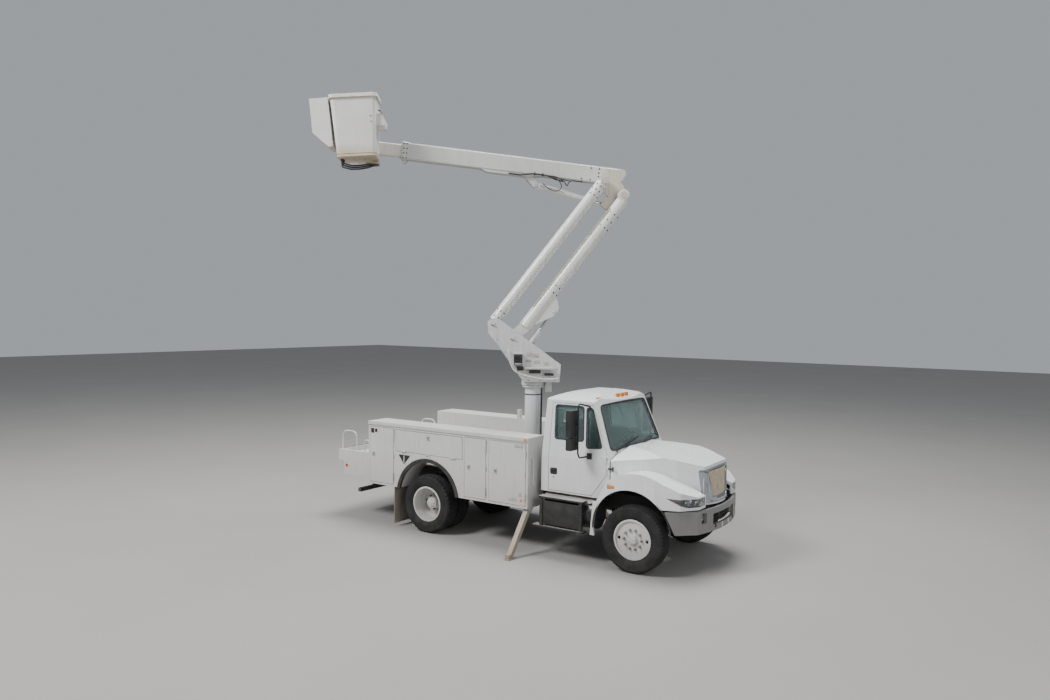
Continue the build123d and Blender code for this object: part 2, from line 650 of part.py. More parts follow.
with BuildPart() as cab_shell:
    add(cab_outer)
    add(cab_inner, mode=Mode.SUBTRACT)
    add(side_prism(DOOR_OUTLINE, (CAB_HALF - 160, CAB_HALF + 60)), mode=Mode.SUBTRACT)
    add(screen_opening(0), mode=Mode.SUBTRACT)
    with BuildSketch(Plane.YZ.offset(CAB_REAR - 60)):
        with Locations((0, BACK_WINDOW[2])):
            RectangleRounded(BACK_WINDOW[0], BACK_WINDOW[1], 60)
    extrude(amount=260, mode=Mode.SUBTRACT)
    # Cab mounts down to the rails
    with BuildSketch(Plane.XY.offset(FRAME_TOP)):
        with Locations((-700, FRAME_HALF - 40), (-700, -FRAME_HALF + 40),
                       (-1560, FRAME_HALF - 40), (-1560, -FRAME_HALF + 40)):
            Rectangle(120, 76)
    extrude(amount=CAB_FLOOR - FRAME_TOP + 20)
    for hinges in CAB_HINGES.values():
        for leaf, pin in hinges:
            add(pin)
pieces["cab_shell"] = cab_shell.part

with BuildPart() as back_glass:
    add(glass_outer)
    add(glass_inner, mode=Mode.SUBTRACT)
    with BuildSketch(Plane.YZ.offset(CAB_REAR - 60)):
        with Locations((0, BACK_WINDOW[2])):
            RectangleRounded(BACK_WINDOW[0] - 1, BACK_WINDOW[1] - 1, 60)
    extrude(amount=200, mode=Mode.INTERSECT)
with BuildPart() as cab_glass:
    add(glass_outer)
    add(glass_inner, mode=Mode.SUBTRACT)
    add(screen_opening(-0.5), mode=Mode.INTERSECT)
    add(back_glass.part)
pieces["cab_glass"] = cab_glass.part

# Seats, dashboard and steering wheel
FLOOR_IN = CAB_FLOOR + CAB_WALL + PIN_CLEAR
DASH_X = CAB_FRONT - CAB_WALL - PIN_CLEAR
with BuildPart() as cab_interior:
    for y, width in ((430, 520), (-330, 820)):
        with BuildSketch(Plane.XZ.offset(-y - width / 2)):
            with BuildLine():
                Polyline((-1500, FLOOR_IN), (-1000, FLOOR_IN), (-960, FLOOR_IN + 330),
                         (-940, FLOOR_IN + 420), (-1380, FLOOR_IN + 400), (-1480, FLOOR_IN + 1000),
                         (-1570, FLOOR_IN + 1000), (-1530, FLOOR_IN + 330), close=True)
            make_face()
        extrude(amount=width)
    with BuildSketch(Plane.XZ.offset(-850)):
        with BuildLine():
            Polyline((DASH_X, FLOOR_IN + 260), (-760, FLOOR_IN + 300), (-790, FLOOR_IN + 560),
                     (-690, FLOOR_IN + 640), (DASH_X, FLOOR_IN + 600), close=True)
        make_face()
    extrude(amount=1700)
    column_foot = Vector(-720, 430, FLOOR_IN + 500)
    column_dir = Vector(-0.82, 0, 0.57)
    with BuildSketch(Plane(origin=column_foot, z_dir=column_dir)):
        Circle(32)
    extrude(amount=230)
    wheel_centre = column_foot + column_dir.normalized() * 225
    with BuildSketch(Plane(origin=wheel_centre, x_dir=(0, 1, 0), z_dir=column_dir)):
        Circle(225)
        Circle(197, mode=Mode.SUBTRACT)
        Rectangle(420, 40)
    extrude(amount=24)
pieces["cab_interior"] = cab_interior.part

# Cab doors with their windows cut, glass and mirrors
MIRROR_X = -945
MIRROR_REACH = {"right": 1290, "left": 1390}
for name, side in SIDES:
    mirror_y = MIRROR_REACH[name]
    with BuildPart() as half_space:
        with BuildSketch(Plane.XY):
            with Locations((-1000, side * 900)):
                Rectangle(2400, 600)
        extrude(amount=3000)
    with BuildPart() as door:
        add(cab_outer)
        add(between_sides.part, mode=Mode.SUBTRACT)
        add(side_prism(DOOR_LEAF, (CAB_HALF - 160, CAB_HALF + 60)), mode=Mode.INTERSECT)
        add(half_space.part, mode=Mode.INTERSECT)
        add(side_prism(MAIN_WINDOW, corner=45), mode=Mode.SUBTRACT)
        add(side_prism(VENT_WINDOW, corner=30), mode=Mode.SUBTRACT)
        for leaf, pin in CAB_HINGES[name]:
            add(leaf)
    pieces[f"cab_door_{name}"] = door.part
    with BuildPart() as openings:
        add(side_prism(MAIN_WINDOW, corner=45))
        add(side_prism(VENT_WINDOW, corner=30))
    with BuildPart() as panes:
        add(glass_outer)
        add(glass_inner, mode=Mode.SUBTRACT)
        add(half_space.part, mode=Mode.INTERSECT)
        add(openings.part, mode=Mode.INTERSECT)
    pieces[f"door_glass_{name}"] = panes.part
    with BuildPart() as mirror:
        with BuildSketch(Plane.XY.offset(1745)):
            with Locations((MIRROR_X, side * mirror_y)):
                Rectangle(85, 205)
        extrude(amount=185)
        with BuildSketch(Plane.XY.offset(1948)):
            with Locations((MIRROR_X, side * mirror_y)):
                Rectangle(85, 205)
        extrude(amount=395)
        with BuildLine() as arm_line:
            FilletPolyline((-800, side * (CAB_HALF - 5), 1630), (-850, side * (mirror_y - 60), 1630),
                           (-870, side * (mirror_y - 50), 1700), (-870, side * (mirror_y - 50), 2420),
                           (-868, side * (mirror_y - 90), 2440), (-860, side * ROOF_HALF, 2372), radius=25)
        with BuildSketch(Plane(origin=(-800, side * (CAB_HALF - 5), 1630),
                               z_dir=(-50, side * (mirror_y - 55 - CAB_HALF), 0))):
            Circle(13)
        sweep(path=arm_line.line)
        for z in (1840, 2140):
            with BuildSketch(Plane.YZ.offset(MIRROR_X)):
                with Locations((side * (mirror_y - 45), z)):
                    Rectangle(26, 30)
            extrude(amount=80)
        with BuildSketch(Plane.XY.offset(1585)):
            with Locations((-800, side * (CAB_HALF + 4))):
                Rectangle(75, 30)
        extrude(amount=90)
        add(cab_outer, mode=Mode.SUBTRACT)
    pieces[f"mirror_{name}"] = mirror.part


# Hood: a tapering box with round shoulders, and a round fender each side
def hood_volume(inset):
    """The hood's solid form with its fenders, every face moved in by inset."""
    i = inset
    with BuildPart() as body:
        with BuildSketch(Plane.XZ.offset(-CAB_HALF)):
            with BuildLine():
                Polyline((HOOD_REAR, NOSE_LOW_Z - 5), (HOOD_REAR, HOOD_TOP_REAR - i),
                         (0, HOOD_TOP_REAR - 35 - i), (480, 1650 - i),
                         (NOSE_TOP_X - i, HOOD_TOP_FRONT - i), (NOSE_LOW_X - i, NOSE_LOW_Z),
                         (NOSE_LOW_X - i, NOSE_LOW_Z - 5), close=True)
            make_face()
        extrude(amount=2 * CAB_HALF)
        with BuildSketch(Plane.XY.offset(NOSE_LOW_Z - 5)):
            with BuildLine():
                Polyline((HOOD_REAR, -CAB_HALF + 25 + i), (0, -845 + i), (480, -650 + i),
                         (NOSE_TOP_X - 10, -NOSE_HALF + i))
                ThreePointArc((NOSE_TOP_X - 10, -NOSE_HALF + i), (NOSE_LOW_X - i, 0),
                              (NOSE_TOP_X - 10, NOSE_HALF - i))
                Polyline((NOSE_TOP_X - 10, NOSE_HALF - i), (480, 650 - i), (0, 845 - i),
                         (HOOD_REAR, CAB_HALF - 25 - i), (HOOD_REAR, -CAB_HALF + 25 + i))
            make_face()
        extrude(amount=900, mode=Mode.INTERSECT)
        # Leaning shoulders
        with BuildSketch(Plane.YZ.offset(HOOD_REAR - 10)):
            with BuildLine():
                ThreePointArc((-CAB_HALF + i, 1580), (0, HOOD_TOP_REAR + 30 - i), (CAB_HALF - i, 1580))
                Polyline((CAB_HALF - i, 1580), (CAB_HALF - i, NOSE_LOW_Z - 10),
                         (-CAB_HALF + i, NOSE_LOW_Z - 10), (-CAB_HALF + i, 1580))
            make_face()
        extrude(amount=1600, mode=Mode.INTERSECT)
    with BuildPart() as fenders:
        with BuildSketch(Plane.XZ.offset(-FENDER_HALF)):
            with BuildLine():
                Polyline((-700, SKIRT_LOW), (-655, 982), (-604, 982), (-448, 1254), (-440, 1290 - i))
                ThreePointArc((-440, 1290 - i), (-20, 1478 - i), (450, 1370 - i))
                Line((450, 1370 - i), (900 - i, 1170 - i))
                Line((900 - i, 1170 - i), (FENDER_FRONT - i, NOSE_LOW_Z - 5))
                Polyline((FENDER_FRONT - i, NOSE_LOW_Z - 5), (0, NOSE_LOW_Z - 5), (-480, SKIRT_LOW),
                         (-700, SKIRT_LOW))
            make_face()
        extrude(amount=2 * FENDER_HALF)
        with BuildSketch(Plane.XY.offset(SKIRT_LOW - 10)):
            with BuildLine():
                Polyline((HOOD_REAR - 280, -FENDER_HALF + 45 + i), (HOOD_REAR, -FENDER_HALF + 20 + i),
                         (-100, -FENDER_HALF + i), (350, -FENDER_HALF + 25 + i),
                         (700, -FENDER_HALF + 150 + i), (880, -FENDER_HALF + 400 + i),
                         (FENDER_FRONT - i, -NOSE_HALF + 30), (FENDER_FRONT - i, NOSE_HALF - 30),
                         (880, FENDER_HALF - 400 - i), (700, FENDER_HALF - 150 - i),
                         (350, FENDER_HALF - 25 - i), (-100, FENDER_HALF - i),
                         (HOOD_REAR, FENDER_HALF - 20 - i), (HOOD_REAR - 280, FENDER_HALF - 45 - i),
                         close=True)
            make_face()
        extrude(amount=1200, mode=Mode.INTERSECT)
        # Open toward the frame
        with BuildSketch(Plane.XY.offset(SKIRT_LOW - 20)):
            Rectangle(2400, 2 * FENDER_INNER)
        extrude(amount=1400, mode=Mode.SUBTRACT)
    with BuildPart() as joined:
        add(body.part)
        add(fenders.part)
    return joined.part


hood_outer = hood_volume(0)
hood_inner = hood_volume(HOOD_WALL)
LAMP_OUTLINE = ((505, 1172), (960, 1155), (960, 1040), (770, 1040))
GRILLE_HALF_LOW, GRILLE_HALF_HIGH, GRILLE_LOW, GRILLE_HIGH = 330, 385, 1055, 1505
with BuildPart() as wheel_arches:
    with BuildSketch(Plane.XZ.offset(-FENDER_HALF - 30)):
        with Locations((ARCH_X, ARCH_Z)):
            Circle(ARCH_R)
    extrude(amount=2 * (FENDER_HALF + 30))
with BuildPart() as lamp_zone:
    for side in (-1, 1):
        with BuildSketch(Plane.XZ.offset(-side * 590)):
            with BuildLine():
                Polyline(*LAMP_OUTLINE, close=True)
            make_face()
        extrude(amount=-side * 640)
with BuildPart() as grille_zone:
    with BuildSketch(Plane.YZ.offset(NOSE_TOP_X - 160)):
        with BuildLine():
            Polyline((-GRILLE_HALF_LOW, GRILLE_LOW), (GRILLE_HALF_LOW, GRILLE_LOW),
                     (GRILLE_HALF_HIGH, GRILLE_HIGH), (-GRILLE_HALF_HIGH, GRILLE_HIGH), close=True)
        make_face()
        fillet(vertices(), 40)
    extrude(amount=400)
cab_room = cab_volume(-12)
with BuildPart() as hood:
    add(hood_outer)
    add(hood_inner, mode=Mode.SUBTRACT)
    add(wheel_arches.part, mode=Mode.SUBTRACT)
    add(lamp_zone.part, mode=Mode.SUBTRACT)
    add(grille_zone.part, mode=Mode.SUBTRACT)
    add(cab_room, mode=Mode.SUBTRACT)
    # Relief round the frame's hinge ears, then the hood's own knuckles
    for side in (-1, 1):
        with BuildSketch(Plane.XZ.offset(-side * (HOOD_HINGE_Y - 12 - RUN_CLEAR))):
            with Locations(HOOD_HINGE):
                Circle(HOOD_EAR_R + 8)
        extrude(amount=-side * (16 + 2 * RUN_CLEAR), mode=Mode.SUBTRACT)
        with BuildSketch(Plane.XZ.offset(-side * (HOOD_HINGE_Y + 12))):
            with Locations(HOOD_HINGE):
                Circle(24)
            with Locations((HOOD_HINGE[0] + 28, HOOD_HINGE[1] + 22)):
                Rectangle(40, 60)
            with Locations(HOOD_HINGE):
                Circle(HOOD_PIN_R + PIN_CLEAR, mode=Mode.SUBTRACT)
        extrude(amount=-side * 22)
pieces["hood"] = hood.part

with BuildPart() as headlamps:
    add(hood_outer)
    add(hood_inner, mode=Mode.SUBTRACT)
    add(lamp_zone.part, mode=Mode.INTERSECT)
    add(wheel_arches.part, mode=Mode.SUBTRACT)
    add(grille_zone.part, mode=Mode.SUBTRACT)
pieces["headlamps"] = headlamps.part

# Grille: a deep frame in the nose opening with upright bars
BAR_COUNT = 13
with BuildPart() as bars:
    add(hood_volume(HOOD_WALL))
    add(hood_volume(HOOD_WALL + 22), mode=Mode.SUBTRACT)
    with BuildSketch(Plane.YZ.offset(NOSE_TOP_X - 160)):
        with GridLocations(2 * GRILLE_HALF_LOW / BAR_COUNT, 1, BAR_COUNT, 1):
            with Locations((0, (GRILLE_LOW + GRILLE_HIGH) / 2)):
                Rectangle(14, GRILLE_HIGH - GRILLE_LOW - 40)
    extrude(amount=400, mode=Mode.INTERSECT)
with BuildPart() as grille:
    add(hood_volume(8))
    add(hood_volume(HOOD_WALL + 30), mode=Mode.SUBTRACT)
    with BuildSketch(Plane.YZ.offset(NOSE_TOP_X - 160)):
        with BuildLine():
            Polyline((-GRILLE_HALF_LOW, GRILLE_LOW), (GRILLE_HALF_LOW, GRILLE_LOW),
                     (GRILLE_HALF_HIGH, GRILLE_HIGH), (-GRILLE_HALF_HIGH, GRILLE_HIGH), close=True)
        make_face()
        fillet(vertices(), 40)
        offset(amount=-48, mode=Mode.SUBTRACT)
    extrude(amount=400, mode=Mode.INTERSECT)
    add(bars.part)
pieces["grille"] = grille.part

# Front bumper: a bowed channel with a grille opening and two lamp openings
with BuildPart() as front_bumper:
    with BuildSketch(Plane.XY.offset(BUMPER_LOW)):
        for inset, mode in ((0, Mode.ADD), (BUMPER_WALL, Mode.SUBTRACT)):
            front = BUMPER_FRONT - inset
            corner = (BUMPER_CORNER[0] - inset, BUMPER_CORNER[1] - 0.6 * inset)
            end = (BUMPER_END[0] - 2 * inset, BUMPER_END[1] - 1.1 * inset)
            with BuildLine():
                Polyline((end[0], -end[1]), (corner[0], -corner[1]))
                ThreePointArc((corner[0], -corner[1]), (front, 0), corner)
                Polyline(corner, end, (end[0], -end[1]))
            make_face(mode=mode)
    extrude(amount=BUMPER_HIGH - BUMPER_LOW)
    # Slanted tail ends behind the wheel arch
    with BuildSketch(Plane.XZ.offset(-1300)):
        with BuildLine():
            Polyline((BUMPER_END[0] - 60, BUMPER_HIGH + 10), (BUMPER_END[0], BUMPER_HIGH + 10),
                     (BUMPER_END[0] + 125, BUMPER_LOW - 5), (BUMPER_END[0] - 60, BUMPER_LOW - 5),
                     close=True)
        make_face()
    extrude(amount=2600, mode=Mode.SUBTRACT)
    with BuildSketch(Plane.YZ.offset(700)):
        with Locations((0, 812)):
            RectangleRounded(860, 165, 20)
        with Locations((-660, 860), (660, 860)):
            RectangleRounded(120, 150, 15)
    extrude(amount=400, mode=Mode.SUBTRACT)
    # Brackets back to the ends of the rails
    for side in (-1, 1):
        with BuildSketch(Plane.YZ.offset(FRAME_FRONT)):
            with Locations((side * (FRAME_HALF - FRAME_FLANGE / 2), 820)):
                Rectangle(FRAME_FLANGE, 120)
        extrude(amount=40)
pieces["front_bumper"] = front_bumper.part

# Side tanks: a round fuel tank on the right, a battery and air box on the left
TANK_X = (-1600, -690)
TANK_R = 232
TANK_Y, TANK_Z = 862, 735
with BuildPart() as side_tanks:
    with BuildSketch(Plane.YZ.offset(TANK_X[0])):
        with Locations((-TANK_Y, TANK_Z)):
            Circle(TANK_R)
    extrude(amount=TANK_X[1] - TANK_X[0])
    with BuildSketch(Plane(origin=(-755, -980, 880), z_dir=(0, -0.5, 0.86))):
        Circle(46)
    extrude(amount=70)
    with BuildSketch(Plane.YZ.offset(TANK_X[0] + 60)):
        with Locations((TANK_Y, TANK_Z)):
            RectangleRounded(2 * TANK_R, 2 * TANK_R - 20, 40)
    extrude(amount=TANK_X[1] - TANK_X[0] - 120)
    for x in (-1420, -860):
        for side in (-1, 1):
            with BuildSketch(Plane.YZ.offset(x)):
                with Locations((side * (FRAME_HALF + 120), 830)):
                    Rectangle(240, 80)
            extrude(amount=60)

STEP_X = (-1600, -815)
STEP_OUT = 1172
with BuildPart() as cab_steps:
    for side in (-1, 1):
        for z, x_low in ((925, STEP_X[0]), (462, STEP_X[0] - 110)):
            with BuildSketch(Plane.XY.offset(z)):
                with Locations(((x_low + STEP_X[1]) / 2, side * (STEP_OUT - 75))):
                    Rectangle(STEP_X[1] - x_low, 150)
            extrude(amount=26)
        for x in (STEP_X[0] + 40, STEP_X[1] - 40):
            with BuildSketch(Plane.XY.offset(462)):
                with Locations((x, side * (STEP_OUT - 30))):
                    Rectangle(50, 40)
            extrude(amount=480)
            with BuildSketch(Plane.XY.offset(TANK_Z - 30)):
                with Locations((x, side * (STEP_OUT - 75))):
                    Rectangle(50, 90)
            extrude(amount=60)
    # Seated against the tank on the right and the box on the left
    with BuildSketch(Plane.YZ.offset(STEP_X[0] - 200)):
        with Locations((-TANK_Y, TANK_Z)):
            Circle(TANK_R + PIN_CLEAR)
        with Locations((TANK_Y, TANK_Z)):
            Rectangle(2 * (TANK_R + PIN_CLEAR), 2 * (TANK_R + PIN_CLEAR) - 20)
    extrude(amount=1400, mode=Mode.SUBTRACT)
with BuildPart() as tanks_and_steps:
    add(side_tanks.part)
    add(cab_steps.part)
pieces["tanks_and_steps"] = tanks_and_steps.part

# Service body: two locker tubs with wheel wells, their outer faces with the door openings,
# and the bed between them
WELL_SEAM = WELL_X + 771
FRONT_SEAM = BODY_FRONT - (BODY_FRONT - WELL_SEAM) * 786 / 1274
# Rear x, front x, low z, high z
DOORS = {"rear": (BODY_REAR + 40, WELL_X - 770, 745, 1742), "well": (WELL_X - 722, WELL_X + 750, 1350, 1732),
         "middle": (WELL_SEAM + 21, FRONT_SEAM - 27, 745, 1742),
         "front": (FRONT_SEAM + 26, BODY_FRONT - 37, 745, 1742)}
PARTITIONS = (WELL_X - 746, WELL_SEAM, FRONT_SEAM)
BOX_Y = BODY_HALF - BOX_DEPTH / 2


def slanted_prism(side, half, low_z, high_z):
    """A square prism along an outrigger's slant, between two heights."""
    tilt = math.radians(LEG_TILT)
    direction = Vector(0, -side * math.sin(tilt), math.cos(tilt))
    base = Vector(LEG_X, side * (LEG_FOOT_Y - low_z * math.tan(tilt)), low_z)
    with BuildPart() as prism:
        with BuildSketch(Plane(origin=base, x_dir=(1, 0, 0), z_dir=direction)):
            Rectangle(2 * half, 2 * half)
        extrude(amount=(high_z - low_z) / math.cos(tilt))
    return prism.part


def locker_hollow(side):
    """The inside of one locker box, round its wheel well and between its partitions."""
    with BuildPart() as hollow:
        with BuildSketch(Plane.YZ.offset(BODY_REAR + BODY_WALL)):
            with Locations((side * BOX_Y, (BODY_LOW + BODY_TOP) / 2)):
                Rectangle(BOX_DEPTH - 2 * BODY_WALL, BODY_TOP - BODY_LOW - 2 * BODY_WALL)
        extrude(amount=BODY_FRONT - BODY_REAR - 2 * BODY_WALL)
        with BuildSketch(Plane.XZ.offset(-side * (BODY_HALF - BOX_DEPTH - 10))):
            with Locations((WELL_X, WELL_Z)):
                Circle(WELL_R + WELL_WALL)
        extrude(amount=-side * (BOX_DEPTH + 20), mode=Mode.SUBTRACT)
        for x in PARTITIONS:
            with BuildSketch(Plane.YZ.offset(x - BODY_WALL / 2)):
                with Locations((side * BOX_Y, (BODY_LOW + BODY_TOP) / 2)):
                    Rectangle(BOX_DEPTH, BODY_TOP - BODY_LOW)
            extrude(amount=BODY_WALL, mode=Mode.SUBTRACT)
    return hollow.part


LOCKER_HINGE_Y = BODY_HALF + 14
LOCKER_HINGES = {}
for name, side in SIDES:
    for place, (x0, x1, z0, z1) in DOORS.items():
        if place == "well":
            LOCKER_HINGES[place, name] = [
                butt_hinge(Vector(x, side * LOCKER_HINGE_Y, z0 + SHUT_GAP / 2), Vector(1, 0, 0), UP,
                           side > 0, 90, 9, 26, 16) for x in (x0 + 150, (x0 + x1) / 2 - 45, x1 - 240)]
        else:
            LOCKER_HINGES[place, name] = [
                butt_hinge(Vector(x1 - SHUT_GAP / 2, side * LOCKER_HINGE_Y, z), UP, Vector(-1, 0, 0),
                           side > 0, 90, 9, 20, 16) for z in (z0 + 120, z1 - 210)]

TUB_DEPTH = BOX_DEPTH - BODY_WALL
TUB_Y = BODY_HALF - BODY_WALL - TUB_DEPTH / 2
BED_HALF = BODY_HALF - BOX_DEPTH
SLEEVE_HALF = LEG_SIDE / 2 + RUN_CLEAR + SLEEVE_WALL
BODY_MID = (BODY_FRONT + BODY_REAR) / 2
with BuildPart() as locker_tubs:
    for side in (-1, 1):
        with BuildSketch(Plane.YZ.offset(BODY_REAR)):
            with Locations((side * TUB_Y, (BODY_LOW + BODY_TOP) / 2)):
                Rectangle(TUB_DEPTH, BODY_TOP - BODY_LOW)
        extrude(amount=BODY_FRONT - BODY_REAR)
        add(locker_hollow(side), mode=Mode.SUBTRACT)
        with BuildSketch(Plane.XZ.offset(-side * (BODY_HALF - BOX_DEPTH - 10))):
            with Locations((WELL_X, WELL_Z)):
                Circle(WELL_R)
        extrude(amount=-side * (BOX_DEPTH + 20), mode=Mode.SUBTRACT)
        add(slanted_prism(side, SLEEVE_HALF, SLEEVE_LOW_Z, SLEEVE_HIGH_Z))
        add(slanted_prism(side, LEG_SIDE / 2 + RUN_CLEAR, SLEEVE_LOW_Z - 80, SLEEVE_HIGH_Z + 60),
            mode=Mode.SUBTRACT)
        # Grab handle on the front end
        with BuildSketch(Plane.XZ.offset(-side * 1090)):
            with Locations((BODY_FRONT + 25, 1300)):
                Rectangle(50, 420)
                Rectangle(20, 380, mode=Mode.SUBTRACT)
        extrude(amount=-side * 20)
    # Boom rest post on the far tub
    with BuildSketch(Plane.XY.offset(BODY_TOP - 5)):
        with Locations((WELL_X + 560, BED_HALF + 50)):
            Rectangle(70, 70)
    extrude(amount=175)
pieces["locker_tubs"] = locker_tubs.part

RAIL_LIP = 16
with BuildPart() as locker_faces:
    for side in (-1, 1):
        with BuildSketch(Plane.XZ.offset(-side * (BODY_HALF - BODY_WALL))):
            with Locations((BODY_MID, (BODY_LOW + BODY_TOP) / 2)):
                Rectangle(BODY_FRONT - BODY_REAR, BODY_TOP - BODY_LOW)
            with Locations((WELL_X, WELL_Z)):
                Circle(WELL_R, mode=Mode.SUBTRACT)
            for x0, x1, z0, z1 in DOORS.values():
                with Locations(((x0 + x1) / 2, (z0 + z1) / 2)):
                    Rectangle(x1 - x0, z1 - z0, mode=Mode.SUBTRACT)
        extrude(amount=-side * BODY_WALL)
        # Drip rail along the top
        with BuildSketch(Plane.XZ.offset(-side * (BODY_HALF - 2))):
            with Locations((BODY_MID, BODY_TOP - 28)):
                Rectangle(BODY_FRONT - BODY_REAR, 56)
        extrude(amount=-side * (RAIL_LIP + 2))
    for hinges in LOCKER_HINGES.values():
        for leaf, pin in hinges:
            add(pin)
pieces["locker_faces"] = locker_faces.part

DECK_T = 5
DECK_X = (BODY_REAR + 20, TURRET_X - 350)
with BuildPart() as service_bed:
    with BuildSketch(Plane.XY.offset(BED_Z)):
        with Locations((BODY_MID, 0)):
            Rectangle(BODY_FRONT - BODY_REAR, 2 * BED_HALF)
    extrude(amount=BED_T)
    # Tread plate behind the pedestal
    with BuildSketch(Plane.XY.offset(BED_Z + BED_T)):
        with Locations(((DECK_X[0] + DECK_X[1]) / 2, 0)):
            Rectangle(DECK_X[1] - DECK_X[0], 2 * BED_HALF - 24)
    extrude(amount=DECK_T)
    with BuildSketch(Plane.YZ.offset(BODY_FRONT)):
        with Locations((0, BED_Z + 240)):
            Rectangle(2 * BED_HALF, 480)
    extrude(amount=-BODY_WALL)
    for side in (-1, 1):
        with BuildSketch(Plane.XY.offset(FRAME_TOP)):
            with Locations((BODY_MID, side * (FRAME_HALF - FRAME_FLANGE / 2))):
                Rectangle(BODY_FRONT - BODY_REAR, FRAME_FLANGE)
        extrude(amount=BED_Z - FRAME_TOP + 5)
        add(slanted_prism(side, SLEEVE_HALF + PAD_CLEAR, SLEEVE_LOW_Z - 80, SLEEVE_HIGH_Z + 60),
            mode=Mode.SUBTRACT)
pieces["service_bed"] = service_bed.part

for name, side in SIDES:
    for place, (x0, x1, z0, z1) in DOORS.items():
        with BuildPart() as locker_door:
            with BuildSketch(Plane.XZ.offset(-side * (BODY_HALF - DOOR_T + 4))):
                with Locations(((x0 + x1) / 2, (z0 + z1) / 2)):
                    Rectangle(x1 - x0 - 2 * SHUT_GAP, z1 - z0 - 2 * SHUT_GAP)
            extrude(amount=-side * DOOR_T)
            latch_x = {"rear": x0 + 95, "well": (x0 + x1) / 2, "middle": x0 + 95,
                       "front": x0 + 140}[place]
            latch_z = z1 - 85 if place == "well" else 1255
            with BuildSketch(Plane.XZ.offset(-side * (BODY_HALF + 3))):
                with Locations((latch_x, latch_z)):
                    RectangleRounded(62, 92, 8)
            extrude(amount=-side * 9)
            for leaf, pin in LOCKER_HINGES[place, name]:
                add(leaf)
        pieces[f"locker_door_{place}_{name}"] = locker_door.part

# Rubber flares round the rear wheel openings, and mud flaps behind the wheels
FLAP_X = WELL_X - 760
with BuildPart() as mud_guards:
    for side in (-1, 1):
        with BuildSketch(Plane.XZ.offset(-side * (BODY_HALF - 30))):
            with Locations((WELL_X, WELL_Z)):
                Circle(WELL_R + FLARE_W)
                Circle(WELL_R - 12, mode=Mode.SUBTRACT)
            with Locations((WELL_X, BODY_LOW - 400)):
                Rectangle(1600, 800, mode=Mode.SUBTRACT)
        extrude(amount=-side * 45)
        with BuildSketch(Plane.XY.offset(60)):
            with Locations((FLAP_X, side * 905)):
                Rectangle(12, 560)
        extrude(amount=BODY_LOW - 60)
    add(locker_tubs.part, mode=Mode.SUBTRACT)
    add(locker_faces.part, mode=Mode.SUBTRACT)
pieces["mud_guards"] = mud_guards.part

# Tail shelf with grab hoops
HOOP_R = 13
HOOP_Y = 1115
# Rear x, front x, top, bend radius
HOOPS = ((SHELF_REAR + 60, SHELF_REAR + 415, 1585, 110), (BODY_REAR - 180, BODY_REAR - 60, 1450, 45))
with BuildPart() as tail_shelf:
    with BuildSketch(Plane.XY.offset(SHELF_MID)):
        with Locations(((BODY_REAR + SHELF_REAR) / 2, 0)):
            Rectangle(BODY_REAR - SHELF_REAR, 2 * SHELF_HALF)
    extrude(amount=SHELF_TOP - SHELF_MID)
    with BuildSketch(Plane.XY.offset(SHELF_TOP - 90)):
        with Locations(((BODY_REAR + SHELF_REAR) / 2, 0)):
            Rectangle(BODY_REAR - SHELF_REAR - 120, 2 * SHELF_HALF - 120)
    extrude(amount=100, mode=Mode.SUBTRACT)
    for side in (-1, 1):
        with BuildSketch(Plane.XY.offset(SHELF_LOW)):
            with Locations(((BODY_REAR + SHELF_REAR + 135) / 2,
                            side * (SHELF_HALF + FRAME_HALF + 16) / 2)):
                Rectangle(BODY_REAR - SHELF_REAR - 135, SHELF_HALF - FRAME_HALF - 16)
        extrude(amount=SHELF_MID - SHELF_LOW)
        for rear_x, front_x, top, bend in HOOPS:
            with BuildLine() as hoop_line:
                FilletPolyline((rear_x, side * HOOP_Y, SHELF_TOP - 10), (rear_x, side * HOOP_Y, top),
                               (front_x, side * HOOP_Y, top), (front_x, side * HOOP_Y, SHELF_TOP - 10),
                               radius=bend)
            with BuildSketch(Plane.XY.offset(SHELF_TOP - 10)):
                with Locations((rear_x, side * HOOP_Y)):
                    Circle(HOOP_R)
            sweep(path=hoop_line.line)
pieces["tail_shelf"] = tail_shelf.part

# Lamps: roof, body corners, tail
with BuildPart() as marker_lamps:
    for y in (-700, -150, 0, 150, 700):
        with BuildSketch(Plane.XY.offset(2400)):
            with Locations((-770 - 55 * (y / 700) ** 2, y)):
                SlotOverall(110, 46, rotation=90)
        extrude(amount=105 if abs(y) > 500 else 130)
    add(cab_outer, mode=Mode.SUBTRACT)
    for side in (-1, 1):
        for plane_y, x, z, r in ((BODY_HALF + RAIL_LIP, BODY_FRONT - 45, 1803, 24),
                                 (SHELF_HALF, SHELF_REAR + 210, 960, 24)):
            with BuildSketch(Plane.XZ.offset(-side * plane_y)):
                with Locations((x, z)):
                    Circle(r)
            extrude(amount=-side * 16)
        with BuildSketch(Plane.YZ.offset(SHELF_REAR)):
            with Locations((side * 1040, SHELF_MID + 105), (side * 880, SHELF_MID + 105)):
                Circle(54)
        extrude(amount=-18)
pieces["marker_lamps"] = marker_lamps.part

